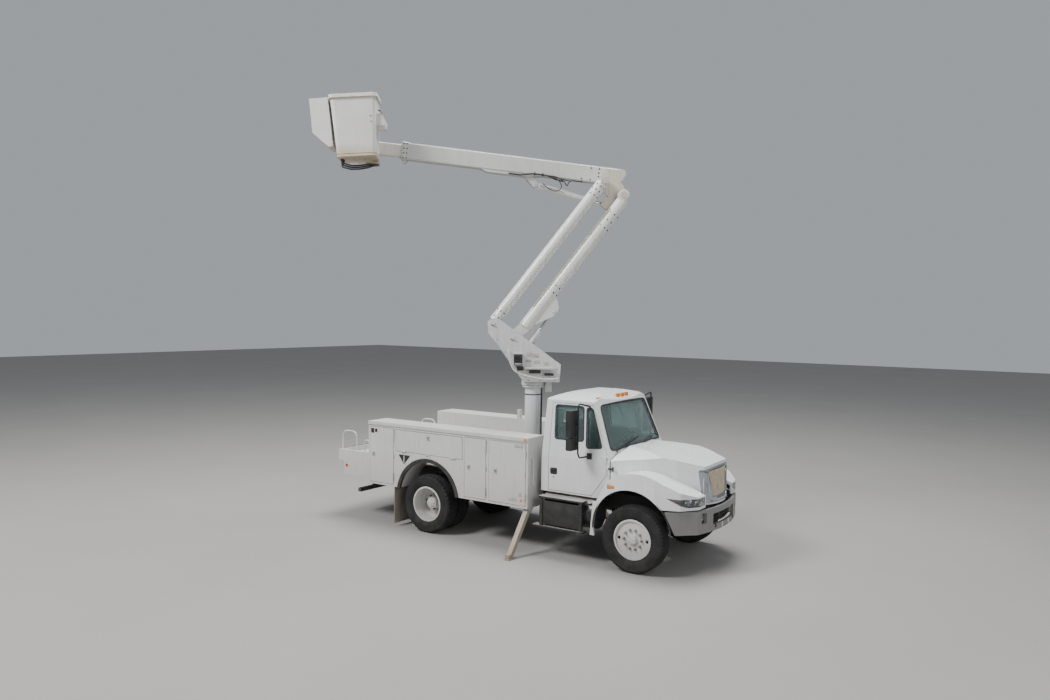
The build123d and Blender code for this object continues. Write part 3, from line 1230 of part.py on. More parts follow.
# Outrigger legs, each with a small flat foot
FOOT_X, FOOT_Y, FOOT_T = 104, 120, 14
for name, side in SIDES:
    with BuildPart() as leg:
        top = LEG_LENGTH * math.cos(math.radians(LEG_TILT))
        add(slanted_prism(side, LEG_SIDE / 2, 35, top))
        add(slanted_prism(side, LEG_SIDE / 2 + RUN_CLEAR - PAD_CLEAR, top - 70, top - 1))
        with BuildSketch(Plane.XY):
            with Locations((LEG_X, side * (LEG_FOOT_Y - 5))):
                Rectangle(FOOT_X, FOOT_Y)
        extrude(amount=FOOT_T)
        with BuildSketch(Plane.XZ.offset(-side * (LEG_FOOT_Y + 40))):
            with Locations((LEG_X, 45)):
                Rectangle(LEG_SIDE, 80)
        extrude(amount=side * 80)
    pieces[f"outrigger_leg_{name}"] = leg.part

# Pedestal: base plate, gussets and post
with BuildPart() as pedestal:
    with BuildSketch(Plane.XY.offset(BED_Z + BED_T)):
        with Locations((TURRET_X, 0)):
            Rectangle(640, 860)
    extrude(amount=40)
    with BuildSketch(Plane.XY.offset(BED_Z + BED_T)):
        with Locations((TURRET_X, 0)):
            Circle(PEDESTAL_R)
    extrude(amount=PEDESTAL_TOP - BED_Z - BED_T)
    with BuildSketch(Plane.XY.offset(PEDESTAL_TOP - 30)):
        with Locations((TURRET_X, 0)):
            Circle(PEDESTAL_R + 45)
    extrude(amount=30)
    with BuildSketch(Plane.XY.offset(PEDESTAL_TOP - 30)):
        with Locations((TURRET_X, 0)):
            Circle(SPIGOT_R)
    extrude(amount=70)
    for angle in range(0, 360, 90):
        c, s = math.cos(math.radians(angle)), math.sin(math.radians(angle))
        with BuildSketch(Plane(origin=(TURRET_X - 8 * s, 8 * c, 0), x_dir=(c, s, 0), z_dir=(s, -c, 0))):
            with BuildLine():
                Polyline((PEDESTAL_R - 20, BED_Z + BED_T + 35), (300, BED_Z + BED_T + 35),
                         (PEDESTAL_R - 5, BED_Z + BED_T + 330), (PEDESTAL_R - 20, BED_Z + BED_T + 330),
                         close=True)
            make_face()
        extrude(amount=16)
pieces["pedestal"] = pedestal.part

# Turret: bearing, base, two side plates, webs, pins, and the lower control station
TURRET_OUTLINE = ((800, 3650), (790, 3450), (570, 3190), (165, TURRET_LOW), (-430, TURRET_LOW),
                  (-450, 2930), (-120, 3170), (480, 3600), (600, 3690), (730, 3700))
PLATE_IN = BOSS_HALF + 10
BASE_FAR = 205
with BuildPart() as turret:
    with BuildSketch(Plane.XY.offset(PEDESTAL_TOP + RUN_CLEAR)):
        with Locations((TURRET_X, 0)):
            Circle(PEDESTAL_R + 60)
    extrude(amount=TURRET_LOW - PEDESTAL_TOP - RUN_CLEAR + 10)
    with BuildSketch(Plane.XY.offset(PEDESTAL_TOP + RUN_CLEAR)):
        with Locations((TURRET_X, 0)):
            Circle(SPIGOT_R + PIN_CLEAR)
    extrude(amount=50, mode=Mode.SUBTRACT)
    with BuildSketch(Plane(origin=(TURRET_X, 0, TURRET_LOW), x_dir=OUT, z_dir=(0, 0, 1))):
        with Locations((-132, -(ARM_W - PLATE_IN - PLATE_T + BASE_FAR) / 2)):
            Rectangle(596, BASE_FAR - (ARM_W - PLATE_IN - PLATE_T))
    extrude(amount=34)
    # Slewing gearbox beside the post
    with BuildSketch(Plane(origin=(TURRET_X, 0, TURRET_LOW), x_dir=OUT, z_dir=(0, 0, 1))):
        with Locations((-262, 0)):
            Rectangle(110, 190)
    extrude(amount=-185)
    for w in (ARM_W - PLATE_IN - PLATE_T, ARM_W + PLATE_IN):
        with BuildSketch(lift_plane(w)):
            with BuildLine():
                Polyline(*TURRET_OUTLINE, close=True)
            make_face()
        extrude(amount=PLATE_T)
    WEBS = (((575, 3200), (165, TURRET_LOW)), ((-430, TURRET_LOW), (-450, 2930)),
            ((-450, 2930), (-250, 3075)))
    for a, b in WEBS:
        angle = heading(a, b)
        with BuildSketch(lift_plane(ARM_W - PLATE_IN - 1)):
            with BuildLine():
                Polyline(a, b, along(b, angle, 0, 15 if a[0] > 0 else -15),
                         along(a, angle, 0, 15 if a[0] > 0 else -15), close=True)
            make_face()
        extrude(amount=2 * PLATE_IN + 2)
    for pin in (MAIN_PIN, LINK_PIN, LIFT_BASE):
        with BuildSketch(lift_plane(ARM_W - PLATE_IN - PLATE_T - 8)):
            with Locations(pin):
                Circle(PIN_R if pin != LIFT_BASE else ROD_R - 3)
        extrude(amount=2 * (PLATE_IN + PLATE_T + 8))
    # Control panels and their guard rail on the near plate
    for u0, u1, z0, z1, depth in ((203, 361, 2907, 3111, 90), (185, 306, 2821, 2907, 70),
                                  (-110, 100, 2775, 2845, 60), (-330, -160, 2740, 2790, 60)):
        with BuildSketch(lift_plane(ARM_W - PLATE_IN - PLATE_T + 2)):
            with Locations(((u0 + u1) / 2, (z0 + z1) / 2)):
                Rectangle(u1 - u0, z1 - z0)
        extrude(amount=-depth)
    with BuildSketch(lift_plane(ARM_W - PLATE_IN - PLATE_T + 2)):
        with Locations((-72, 2868)):
            Rectangle(482, 30)
    extrude(amount=-120)
pieces["turret"] = turret.part


def tube(start, angle, first, last, w, radius, aside=0.0):
    """A round tube of the lift between two distances from a pin."""
    with BuildPart() as pipe:
        with BuildSketch(section_plane(start, angle, first, w, aside)):
            Circle(radius)
        extrude(amount=last - first)
    return pipe.part


def boss(point, radius, low_w, high_w):
    """A round boss across the lift's plane."""
    with BuildPart() as hub:
        with BuildSketch(lift_plane(low_w)):
            with Locations(point):
                Circle(radius)
        extrude(amount=high_w - low_w)
    return hub.part


# Lower arm: the main tube with its lift gusset, and the parallel link tube
LOW_W, HIGH_W = ARM_W - BOSS_HALF, ARM_W + BOSS_HALF
LIFT_EYE_HALF = CYL_R
ROOT_LENGTH = 265
with BuildPart() as main_arm:
    add(tube(MAIN_PIN, ARM_ANGLE, ROOT_LENGTH, ARM_LENGTH - 55, ARM_W, MAIN_R, MAIN_SHIFT))
    add(boss(MAIN_PIN, 88, LOW_W, HIGH_W))
    add(boss(MAIN_TOP, 92, LOW_W, HIGH_W))
    # Root plates from the pin to the tube, and the gusset plates of the lift cylinder
    for w in (ARM_W - LIFT_EYE_HALF - RUN_CLEAR - 16, ARM_W + LIFT_EYE_HALF + RUN_CLEAR):
        with BuildSketch(lift_plane(w)):
            with Locations(MAIN_PIN):
                Circle(88)
            with Locations(along(MAIN_PIN, ARM_ANGLE, ROOT_LENGTH + 80, 20),
                           along(MAIN_PIN, ARM_ANGLE, ROOT_LENGTH + 80, 112)):
                Circle(55)
            make_hull()
        extrude(amount=16)
        with BuildSketch(lift_plane(w)):
            with BuildLine():
                Polyline(along(MAIN_PIN, ARM_ANGLE, ROOT_LENGTH, 100), along(MAIN_PIN, ARM_ANGLE, 690, 320),
                         along(MAIN_PIN, ARM_ANGLE, 800, 340), along(MAIN_PIN, ARM_ANGLE, 880, 310),
                         along(MAIN_PIN, ARM_ANGLE, 1060, 100), close=True)
            make_face()
        extrude(amount=16)
    for w in (ARM_W - LIFT_EYE_HALF - RUN_CLEAR - 26, ARM_W + LIFT_EYE_HALF + RUN_CLEAR + 16):
        add(boss(LIFT_EYE, 34, w, w + 10))
    for pin in (MAIN_PIN, MAIN_TOP):
        add(boss(pin, PIN_R + PIN_CLEAR, LOW_W - 5, HIGH_W + 5), mode=Mode.SUBTRACT)
pieces["main_arm"] = main_arm.part

with BuildPart() as link_arm:
    add(tube(LINK_PIN, ARM_ANGLE, 45, ARM_LENGTH - 45, ARM_W, LINK_R))
    add(boss(LINK_PIN, 66, LOW_W, HIGH_W))
    add(boss(LINK_TOP, 66, LOW_W, HIGH_W))
    for pin in (LINK_PIN, LINK_TOP):
        add(boss(pin, PIN_R + PIN_CLEAR, LOW_W - 5, HIGH_W + 5), mode=Mode.SUBTRACT)
pieces["link_arm"] = link_arm.part

# Elbow: a thick plate between the arm's side and the boom's side, with its pins
ELBOW_LOW, ELBOW_HIGH = HIGH_W + 10, BOOM_W - BOOM_WIDTH / 2 - 10
ELBOW_OUTLINE = ((-1205, 6297), (-1535, 6281), (-1555, 6207), (-1466, 6077), (-1558, 5920),
                 (-1570, 5820), (-1540, 5755), (-1460, 5725), (-1350, 5762), (-1310, 5625),
                 (-1196, 5607), (-1136, 5657), (-1146, 5757), (-1246, 5817), (-1100, 5978),
                 (-1100, 6107))
YOKE = (-1290, 5632)
with BuildPart() as elbow:
    with BuildSketch(lift_plane(ELBOW_LOW)):
        with BuildLine():
            Polyline(*ELBOW_OUTLINE, close=True)
        make_face()
    extrude(amount=ELBOW_HIGH - ELBOW_LOW)
    for pin in (LINK_TOP, MAIN_TOP):
        add(boss(pin, PIN_R, LOW_W - 8, ELBOW_LOW + 5))
        add(boss(pin, PIN_R + 22, LOW_W - 18, LOW_W - 8))
    add(boss(BOOM_PIN, PIN_R, ELBOW_HIGH - 5, BOOM_W + BOOM_WIDTH / 2 + 8))
    add(boss(BOOM_PIN, PIN_R + 22, BOOM_W + BOOM_WIDTH / 2 + 8, BOOM_W + BOOM_WIDTH / 2 + 18))
    for w in (BOOM_W - EYE_HALF - RUN_CLEAR - 18, BOOM_W + EYE_HALF + RUN_CLEAR):
        with BuildSketch(lift_plane(w)):
            with Locations(BOOM_CYL_ROD, (YOKE[0] - 20, YOKE[1] - 20)):
                Circle(46)
            make_hull()
        extrude(amount=18)
    with BuildSketch(lift_plane(ELBOW_HIGH - 5)):
        with Locations((YOKE[0] - 28, YOKE[1] - 28)):
            Circle(34)
    extrude(amount=BOOM_W + EYE_HALF + RUN_CLEAR + 18 - ELBOW_HIGH + 5)
pieces["elbow"] = elbow.part


def cylinder_pair(base, eye, w, closed, half):
    """A hydraulic cylinder's barrel, with its base eye, and its rod, with its rod eye."""
    angle, length = heading(base, eye), span(base, eye)
    barrel_end = closed - EYE_R - 20
    with BuildPart() as barrel:
        add(tube(base, angle, 20, 80, w, ROD_R))
        add(tube(base, angle, 66, barrel_end, w, CYL_R))
        add(boss(base, EYE_R, w - half, w + half))
        add(tube(base, angle, 90, barrel_end + 5, w, ROD_R + PIN_CLEAR), mode=Mode.SUBTRACT)
        add(boss(base, ROD_R - 3 + PIN_CLEAR, w - half - 5, w + half + 5), mode=Mode.SUBTRACT)
    with BuildPart() as rod:
        add(tube(base, angle, length - closed + 100, length - 15, w, ROD_R))
        add(boss(eye, EYE_R, w - half, w + half))
    return barrel.part, rod.part


LIFT_CLOSED = 705
pieces["lift_barrel"], pieces["lift_rod"] = cylinder_pair(LIFT_BASE, LIFT_EYE, ARM_W, LIFT_CLOSED,
                                                          LIFT_EYE_HALF)
BOOM_CLOSED = 985
pieces["boom_barrel"], pieces["boom_rod"] = cylinder_pair(BOOM_CYL_BASE, BOOM_CYL_ROD, BOOM_W,
                                                          BOOM_CLOSED, EYE_HALF)


def box_tube(first, last, height, width, w=BOOM_W):
    """A box section of the upper boom between two distances from its pin."""
    with BuildPart() as section:
        with BuildSketch(section_plane(BOOM_PIN, BOOM_ANGLE, first, w)):
            RectangleRounded(width, height, 22)
        extrude(amount=last - first)
    return section.part


# Upper boom: outer box with open root, doubler, cylinder bracket and tip collar
with BuildPart() as outer_boom:
    add(box_tube(-BOOM_OVERHANG, BOOM_LENGTH, BOOM_HEIGHT, BOOM_WIDTH))
    add(box_tube(BOOM_LENGTH - 110, BOOM_LENGTH, BOOM_HEIGHT + 22, BOOM_WIDTH + 22))
    add(box_tube(-BOOM_OVERHANG - 5, BOOM_LENGTH + 5, BOOM_HEIGHT - 2 * BOOM_WALL,
                 BOOM_WIDTH - 2 * BOOM_WALL), mode=Mode.SUBTRACT)
    add(box_tube(BOOM_LENGTH - 60, BOOM_LENGTH - 1, BOOM_HEIGHT - BOOM_WALL, BOOM_WIDTH - BOOM_WALL))
    add(box_tube(BOOM_LENGTH - 70, BOOM_LENGTH + 5, INNER_HEIGHT + 2 * PAD_CLEAR,
                 INNER_WIDTH + 2 * PAD_CLEAR), mode=Mode.SUBTRACT)
    for w in (BOOM_W - BOOM_WIDTH / 2, BOOM_W + BOOM_WIDTH / 2 - 30):
        add(boss(BOOM_PIN, 85, w, w + 30))
    add(boss(BOOM_PIN, PIN_R + PIN_CLEAR, 0, BOOM_W + 400), mode=Mode.SUBTRACT)
    # Slanted root end
    with BuildSketch(lift_plane(BOOM_W - 200)):
        with BuildLine():
            Polyline(along(BOOM_PIN, BOOM_ANGLE, -BOOM_OVERHANG - 20, -20),
                     along(BOOM_PIN, BOOM_ANGLE, -BOOM_OVERHANG - 20, -200),
                     along(BOOM_PIN, BOOM_ANGLE, -60, -200), close=True)
        make_face()
    extrude(amount=400, mode=Mode.SUBTRACT)
    # Doubler under the boom and the ears that hold the cylinder's base pin
    low = -BOOM_HEIGHT / 2
    with BuildSketch(lift_plane(BOOM_W - BOOM_WIDTH / 2 + 10)):
        with BuildLine():
            Polyline(*[along(BOOM_PIN, BOOM_ANGLE, s, t) for s, t in
                       ((2290, low + 4), (2190, low - 40), (1450, low - 40), (1250, low + 4))], close=True)
        make_face()
    extrude(amount=BOOM_WIDTH - 20)
    add(boss(BOOM_CYL_BASE, EYE_R + 30, BOOM_W - EYE_HALF - RUN_CLEAR, BOOM_W + EYE_HALF + RUN_CLEAR),
        mode=Mode.SUBTRACT)
    for w in (BOOM_W - EYE_HALF - RUN_CLEAR - 18, BOOM_W + EYE_HALF + RUN_CLEAR):
        with BuildSketch(lift_plane(w)):
            with Locations(BOOM_CYL_BASE):
                Circle(52)
            with Locations(along(BOOM_PIN, BOOM_ANGLE, 1420, low - 8),
                           along(BOOM_PIN, BOOM_ANGLE, 1560, low - 8)):
                Circle(10)
            make_hull()
        extrude(amount=18)
    add(boss(BOOM_CYL_BASE, ROD_R - 3, BOOM_W - EYE_HALF - RUN_CLEAR - 24,
             BOOM_W + EYE_HALF + RUN_CLEAR + 24))
    # Roller block under the tip collar and a tie-down hook
    with BuildSketch(section_plane(BOOM_PIN, BOOM_ANGLE, BOOM_LENGTH - 90, BOOM_W, low - 30)):
        Rectangle(110, 60)
    extrude(amount=60)
pieces["outer_boom"] = outer_boom.part

with BuildPart() as inner_boom:
    add(box_tube(INNER_START, INNER_TIP, INNER_HEIGHT, INNER_WIDTH))
    add(box_tube(INNER_START - 5, INNER_TIP - 12, INNER_HEIGHT - 16, INNER_WIDTH - 16), mode=Mode.SUBTRACT)
    # Wear pads that run in the outer box
    add(box_tube(INNER_START, INNER_START + 90, BOOM_HEIGHT - 2 * (BOOM_WALL + PAD_CLEAR),
                 BOOM_WIDTH - 2 * (BOOM_WALL + PAD_CLEAR)))
    add(boss(LEVEL_PIN, LEVEL_PIN_R + 34, BOOM_W - INNER_WIDTH / 2, BOOM_W + INNER_WIDTH / 2))
    add(boss(LEVEL_PIN, LEVEL_PIN_R + PIN_CLEAR, BOOM_W - 100, BOOM_W + 100), mode=Mode.SUBTRACT)
pieces["inner_boom"] = inner_boom.part

# Bucket: a deep tapering tub with a rolled lip
def bucket_form(inset):
    """The tub's tapering solid, its walls and floor moved in by inset."""
    with BuildPart() as form:
        for z, near, far, half, rise in (
                (BUCKET_LOW, BUCKET_NEAR_LOW, BUCKET_FAR_LOW, BUCKET_HALF_LOW, inset),
                (BUCKET_TOP, BUCKET_NEAR_TOP, BUCKET_FAR_TOP, BUCKET_HALF, inset / 10)):
            middle = lift_point(((near + far) / 2, z + rise), BUCKET_W)
            with BuildSketch(Plane(origin=middle, x_dir=OUT, z_dir=UP)):
                RectangleRounded(far - near - 2 * inset, 2 * half - 2 * inset, 70)
        loft()
    return form.part


LIP_MIDDLE = (BUCKET_NEAR_TOP + BUCKET_FAR_TOP) / 2
LIP_LENGTH = BUCKET_FAR_TOP - BUCKET_NEAR_TOP
bucket_outer = bucket_form(0)
with BuildPart() as bucket:
    add(bucket_outer)
    with BuildSketch(Plane(origin=lift_point((LIP_MIDDLE, BUCKET_TOP - LIP_H), BUCKET_W), x_dir=OUT,
                           z_dir=UP)):
        RectangleRounded(LIP_LENGTH + 2 * LIP_OUT, 2 * (BUCKET_HALF + LIP_OUT), 85)
    extrude(amount=LIP_H)
    add(bucket_form(BUCKET_WALL), mode=Mode.SUBTRACT)
pieces["bucket"] = levelled(bucket.part)

# Bucket mount: a plate between bucket and boom, its pin through the boom's tip, two blocks
# that seat the bucket's side, and an arm under the bucket's floor
with BuildPart() as bucket_mount:
    with BuildSketch(lift_plane(MOUNT_W)):
        with BuildLine():
            Polyline((2690, 6470), (2690, 6235), (2810, 6235), (2860, BUCKET_LOW - 30),
                     (3030, BUCKET_LOW - 30), (3040, 7200), (2870, 7200), (2860, 6720), close=True)
        make_face()
    extrude(amount=MOUNT_T)
    add(boss(LEVEL_PIN, LEVEL_PIN_R + 34, MOUNT_W, BOOM_W - INNER_WIDTH / 2 - RUN_CLEAR))
    add(boss(LEVEL_PIN, LEVEL_PIN_R, MOUNT_W, BOOM_W + INNER_WIDTH / 2 + RUN_CLEAR + 14))
    add(boss(LEVEL_PIN, LEVEL_PIN_R + 24, BOOM_W + INNER_WIDTH / 2 + RUN_CLEAR,
             BOOM_W + INNER_WIDTH / 2 + RUN_CLEAR + 14))
    for z in (6450, 7120):
        with BuildSketch(lift_plane(MOUNT_W + 1)):
            with Locations((2950, z)):
                Rectangle(150, 110)
        extrude(amount=-100)
    with BuildSketch(lift_plane(MOUNT_W + 1)):
        with Locations((2960, BUCKET_LOW - 15)):
            Rectangle(130, 30)
    extrude(amount=-460)
    add(bucket_form(-PIN_CLEAR), mode=Mode.SUBTRACT)
pieces["bucket_mount"] = levelled(bucket_mount.part)

# Control console on the bucket's end that faces the boom
with BuildPart() as control_console:
    with BuildSketch(lift_plane(BUCKET_W - 190)):
        with BuildLine():
            Polyline((2750, 6992), (2600, 6992), (2530, 6955), (2500, 6889), (2512, 6808), (2750, 6815),
                     close=True)
        make_face()
    extrude(amount=380)
    for w in (BUCKET_W - 110, BUCKET_W, BUCKET_W + 110):
        with BuildSketch(Plane(origin=lift_point((2590, 6985), w), z_dir=UP)):
            Circle(11)
        extrude(amount=75)
    add(bucket_form(-PIN_CLEAR), mode=Mode.SUBTRACT)

# Tool apron hung outside the bucket's far end, open on top
APRON_HALF = 230
APRON_WALL = 16
APRON = ((3396, 7290), (3695, 7281), (3679, 6733), (3551, 6599), (3429, 6488), (3366, 6508))
APRON_ROOM = ((3412, 7400), (3678, 7400), (3663, 6740), (3541, 6616), (3430, 6512), (3384, 6524))
with BuildPart() as tool_apron:
    for outline, half, mode in ((APRON, APRON_HALF, Mode.ADD),
                                (APRON_ROOM, APRON_HALF - APRON_WALL, Mode.SUBTRACT)):
        with BuildSketch(lift_plane(BUCKET_W - half)):
            with BuildLine():
                Polyline(*outline, close=True)
            make_face()
        extrude(amount=2 * half, mode=mode)
    # Two hangers to the bucket's wall
    for z in (6600, 7180):
        with BuildSketch(lift_plane(BUCKET_W - 90)):
            with Locations((3360, z)):
                Rectangle(90, 60)
        extrude(amount=180)
    add(bucket_form(-PIN_CLEAR), mode=Mode.SUBTRACT)
with BuildPart() as bucket_fittings:
    add(control_console.part)
    add(tool_apron.part)
pieces["bucket_fittings"] = levelled(bucket_fittings.part)

# Hoses clipped along the boom's near side, and the loop under the bucket
HOSE_R = 13
with BuildPart() as boom_hoses:
    hose_w = BOOM_W - BOOM_WIDTH / 2 - HOSE_R - PIN_CLEAR
    HOSE_ROUTE = ((1810, -165), (1600, -165), (1400, -120), (1150, -118), (1000, -170), (860, -190))
    with BuildLine(lift_plane(hose_w)) as hose_line:
        FilletPolyline(*[along(BOOM_PIN, BOOM_ANGLE, s, t) for s, t in HOSE_ROUTE], radius=80)
    start = lift_point(along(BOOM_PIN, BOOM_ANGLE, *HOSE_ROUTE[0]), hose_w)
    with BuildSketch(Plane(origin=start, z_dir=OUT * -math.cos(math.radians(BOOM_ANGLE))
                           - UP * math.sin(math.radians(BOOM_ANGLE)))):
        Circle(HOSE_R)
    sweep(path=hose_line.line)
pieces["boom_hoses"] = boom_hoses.part

# Three hoses from the mount, in a slack loop under the bucket and up to its floor
with BuildPart() as bucket_hose:
    for sag, start in ((0, 2786), (36, 2748), (72, 2710)):
        shift = -sag
        route = ((start, 6256, MOUNT_W - PIN_CLEAR), (start, 6256, -60),
                 (2840, 6232 - sag, -230 + shift),
                 (2960, 6205 - sag, -290 + shift), (3110, 6205 - sag, -300 + shift),
                 (3235 + sag / 3, 6250 - sag, -300 + shift),
                 (3235 + sag / 3, BUCKET_LOW - PIN_CLEAR, -300 + shift))
        points = [lift_point((u, z), w) for u, z, w in route]
        with BuildLine() as loop_line:
            FilletPolyline(*points, radius=32)
        with BuildSketch(Plane(origin=points[0], z_dir=points[1] - points[0])):
            Circle(HOSE_R)
        sweep(path=loop_line.line)
pieces["bucket_hose"] = levelled(bucket_hose.part)

# The datum: the middle of the whole outline, at ground height
boxes = [piece.bounding_box() for piece in pieces.values()]
low_corner = (min(b.min.X for b in boxes), min(b.min.Y for b in boxes), min(b.min.Z for b in boxes))
high_corner = (max(b.max.X for b in boxes), max(b.max.Y for b in boxes), max(b.max.Z for b in boxes))
DATUM = (-(low_corner[0] + high_corner[0]) / 2, -(low_corner[1] + high_corner[1]) / 2, 0)

os.makedirs("parts", exist_ok=True)
for name, piece in pieces.items():
    placed = piece.moved(Location(DATUM))
    placed.label = name
    export_step(placed, f"parts/{name}.step")
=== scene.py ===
import math
import bmesh
import bpy
import mathutils
import mathutils.bvhtree
import numpy as np
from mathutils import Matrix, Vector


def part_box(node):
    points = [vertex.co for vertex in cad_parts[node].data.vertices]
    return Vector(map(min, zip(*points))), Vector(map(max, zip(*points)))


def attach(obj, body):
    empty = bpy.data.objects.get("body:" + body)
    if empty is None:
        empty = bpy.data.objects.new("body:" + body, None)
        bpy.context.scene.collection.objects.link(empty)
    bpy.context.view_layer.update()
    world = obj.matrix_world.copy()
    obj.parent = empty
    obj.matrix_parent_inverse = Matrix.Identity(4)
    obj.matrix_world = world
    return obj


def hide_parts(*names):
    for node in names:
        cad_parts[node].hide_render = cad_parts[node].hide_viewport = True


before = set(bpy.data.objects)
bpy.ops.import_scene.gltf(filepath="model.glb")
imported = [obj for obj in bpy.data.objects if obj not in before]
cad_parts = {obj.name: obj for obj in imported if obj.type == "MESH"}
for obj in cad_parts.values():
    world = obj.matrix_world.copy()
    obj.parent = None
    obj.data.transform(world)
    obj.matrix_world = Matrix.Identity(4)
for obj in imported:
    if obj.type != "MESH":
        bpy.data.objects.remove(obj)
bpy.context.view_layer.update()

# Chassis frame: two channel rails with cross tubes, and the bar that hangs behind them.
# Hot-rolled steel in black chassis paint, dusty on top and rusting where stones have chipped it.
# Places are metres from the ground below the front axle's middle: x forward, y to the left, z up.
SIDES = (("right", -1), ("left", 1))
REAR_X, AXLE_Z = -3.861, 0.5
FRONT_Y, REAR_OUTER_Y, REAR_INNER_Y = 1.015, 1.06, 0.73
low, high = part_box("tyre_front_right")
ORIGIN = np.array([(low[0] + high[0]) / 2, (low[1] + high[1]) / 2 + FRONT_Y, 0.0])


class Tone:
    """A value somewhere in a finish's nodes: arithmetic on it adds the Math nodes."""

    def __init__(self, finish, socket):
        self.finish = finish
        self.socket = socket

    def __add__(self, other):
        return self.finish.maths("ADD", self, other)

    def __radd__(self, other):
        return self.finish.maths("ADD", other, self)

    def __sub__(self, other):
        return self.finish.maths("SUBTRACT", self, other)

    def __rsub__(self, other):
        return self.finish.maths("SUBTRACT", other, self)

    def __mul__(self, other):
        return self.finish.maths("MULTIPLY", self, other)

    def __rmul__(self, other):
        return self.finish.maths("MULTIPLY", other, self)

    def __lt__(self, other):
        return self.finish.maths("LESS_THAN", self, other)

    def between(self, start, end):
        """0 below start, 1 above end, and a straight slope between them."""
        return self.finish.maths("MULTIPLY", self - start, 1.0 / (end - start), clamp=True)

    def held(self):
        """The value held between 0 and 1."""
        return self.finish.maths("ADD", self, 0.0, clamp=True)


class Finish:
    """One material of the truck, with its nodes added one call at a time."""

    def __init__(self, name):
        self.material = bpy.data.materials.new(name)
        self.material.use_nodes = True
        self.tree = self.material.node_tree
        self.tree.nodes.clear()
        self.out = self.tree.nodes.new("ShaderNodeOutputMaterial")
        self.place = self.node("ShaderNodeTexCoord", out="Object")
        split = self.tree.nodes.new("ShaderNodeSeparateXYZ")
        self.tree.links.new(self.place.socket, split.inputs[0])
        self.x, self.y, self.z = (Tone(self, socket) for socket in split.outputs)

    def node(self, kind, inputs=None, out=0, **settings):
        """Add a node: its settings first, then the values or links of its inputs."""
        added = self.tree.nodes.new(kind)
        for key, value in settings.items():
            setattr(added, key, value)
        self.feed(added, inputs or {})
        return Tone(self, added.outputs[out])

    def feed(self, added, inputs):
        """Link or set a node's inputs; three numbers are a colour where the socket holds four."""
        for key, value in inputs.items():
            socket = added.inputs[key]
            if isinstance(value, Tone):
                self.tree.links.new(value.socket, socket)
            elif socket.type == "RGBA":
                socket.default_value = (*value, 1.0)
            else:
                socket.default_value = value

    def maths(self, operation, first, second=0.0, clamp=False):
        """One Math node's result, held between 0 and 1 where clamp says so."""
        return self.node("ShaderNodeMath", {0: first, 1: second}, operation=operation, use_clamp=clamp)

    def noise(self, scale, detail, stretch=None):
        """Fractal noise from 0 to 1; a small stretch along an axis draws it out that way."""
        place = self.place
        if stretch:
            place = self.node("ShaderNodeMapping", {"Vector": place, "Scale": stretch})
        return self.node("ShaderNodeTexNoise",
                         {"Vector": place, "Scale": scale, "Detail": detail, "Roughness": 0.55})

    def wave(self, scale, direction):
        """Even bands across a direction, going from 0 to 1 and back."""
        return self.node("ShaderNodeTexWave", {"Vector": self.place, "Scale": scale},
                         bands_direction=direction)

    def facing_up(self):
        """How far a face looks up: the z of its normal."""
        return self.node("ShaderNodeSeparateXYZ",
                         {0: self.node("ShaderNodeNewGeometry", out="True Normal")}, out=2)

    def mix(self, amount, first, second):
        """A colour between two colours, by an amount from 0 to 1."""
        return self.node("ShaderNodeMix", {0: amount, 6: first, 7: second}, out=2, data_type="RGBA")

    def edge(self, radius):
        """How near a point is to a sharp edge: 0 on a flat face, toward 1 on the edge."""
        soft = self.node("ShaderNodeBevel", {"Radius": radius}, samples=4)
        true = self.node("ShaderNodeNewGeometry", out="True Normal")
        dot = self.node("ShaderNodeVectorMath", {0: soft, 1: true}, out="Value", operation="DOT_PRODUCT")
        return (1.0 - dot).between(0.02, 0.25)

    def surface(self, colour, roughness, height=None, depth=0.002, round_edges=0.003, fixed=None):
        """The shader: what varies goes to colour, roughness and bump, what is fixed to its own socket."""
        shade = self.tree.nodes.new("ShaderNodeBsdfPrincipled")
        self.feed(shade, {"Base Color": colour, "Roughness": roughness, **(fixed or {})})
        normal = None
        if round_edges:
            normal = self.node("ShaderNodeBevel", {"Radius": round_edges}, samples=4)
        if height is not None:
            inputs = {"Height": height, "Strength": 0.5, "Distance": depth}
            if normal:
                inputs["Normal"] = normal
            normal = self.node("ShaderNodeBump", inputs)
        if normal:
            self.tree.links.new(normal.socket, shade.inputs["Normal"])
        self.tree.links.new(shade.outputs[0], self.out.inputs[0])
        return self.material


def mottled(name, scale, detail, colours, gloss, gloss_by=0.0, span=None, bump=0.0, round_edges=0.0,
            stretch=None, fixed=None):
    """A finish of two colours mixed by one noise, which also varies its roughness and its bump."""
    finish = Finish(name)
    cloud = finish.noise(scale, detail, stretch)
    if span:
        cloud = cloud.between(*span)
    rough = gloss + cloud * gloss_by if gloss_by else gloss
    tone = finish.mix(cloud, *colours)
    return finish.surface(tone, rough, cloud if bump else None, bump, round_edges, fixed)


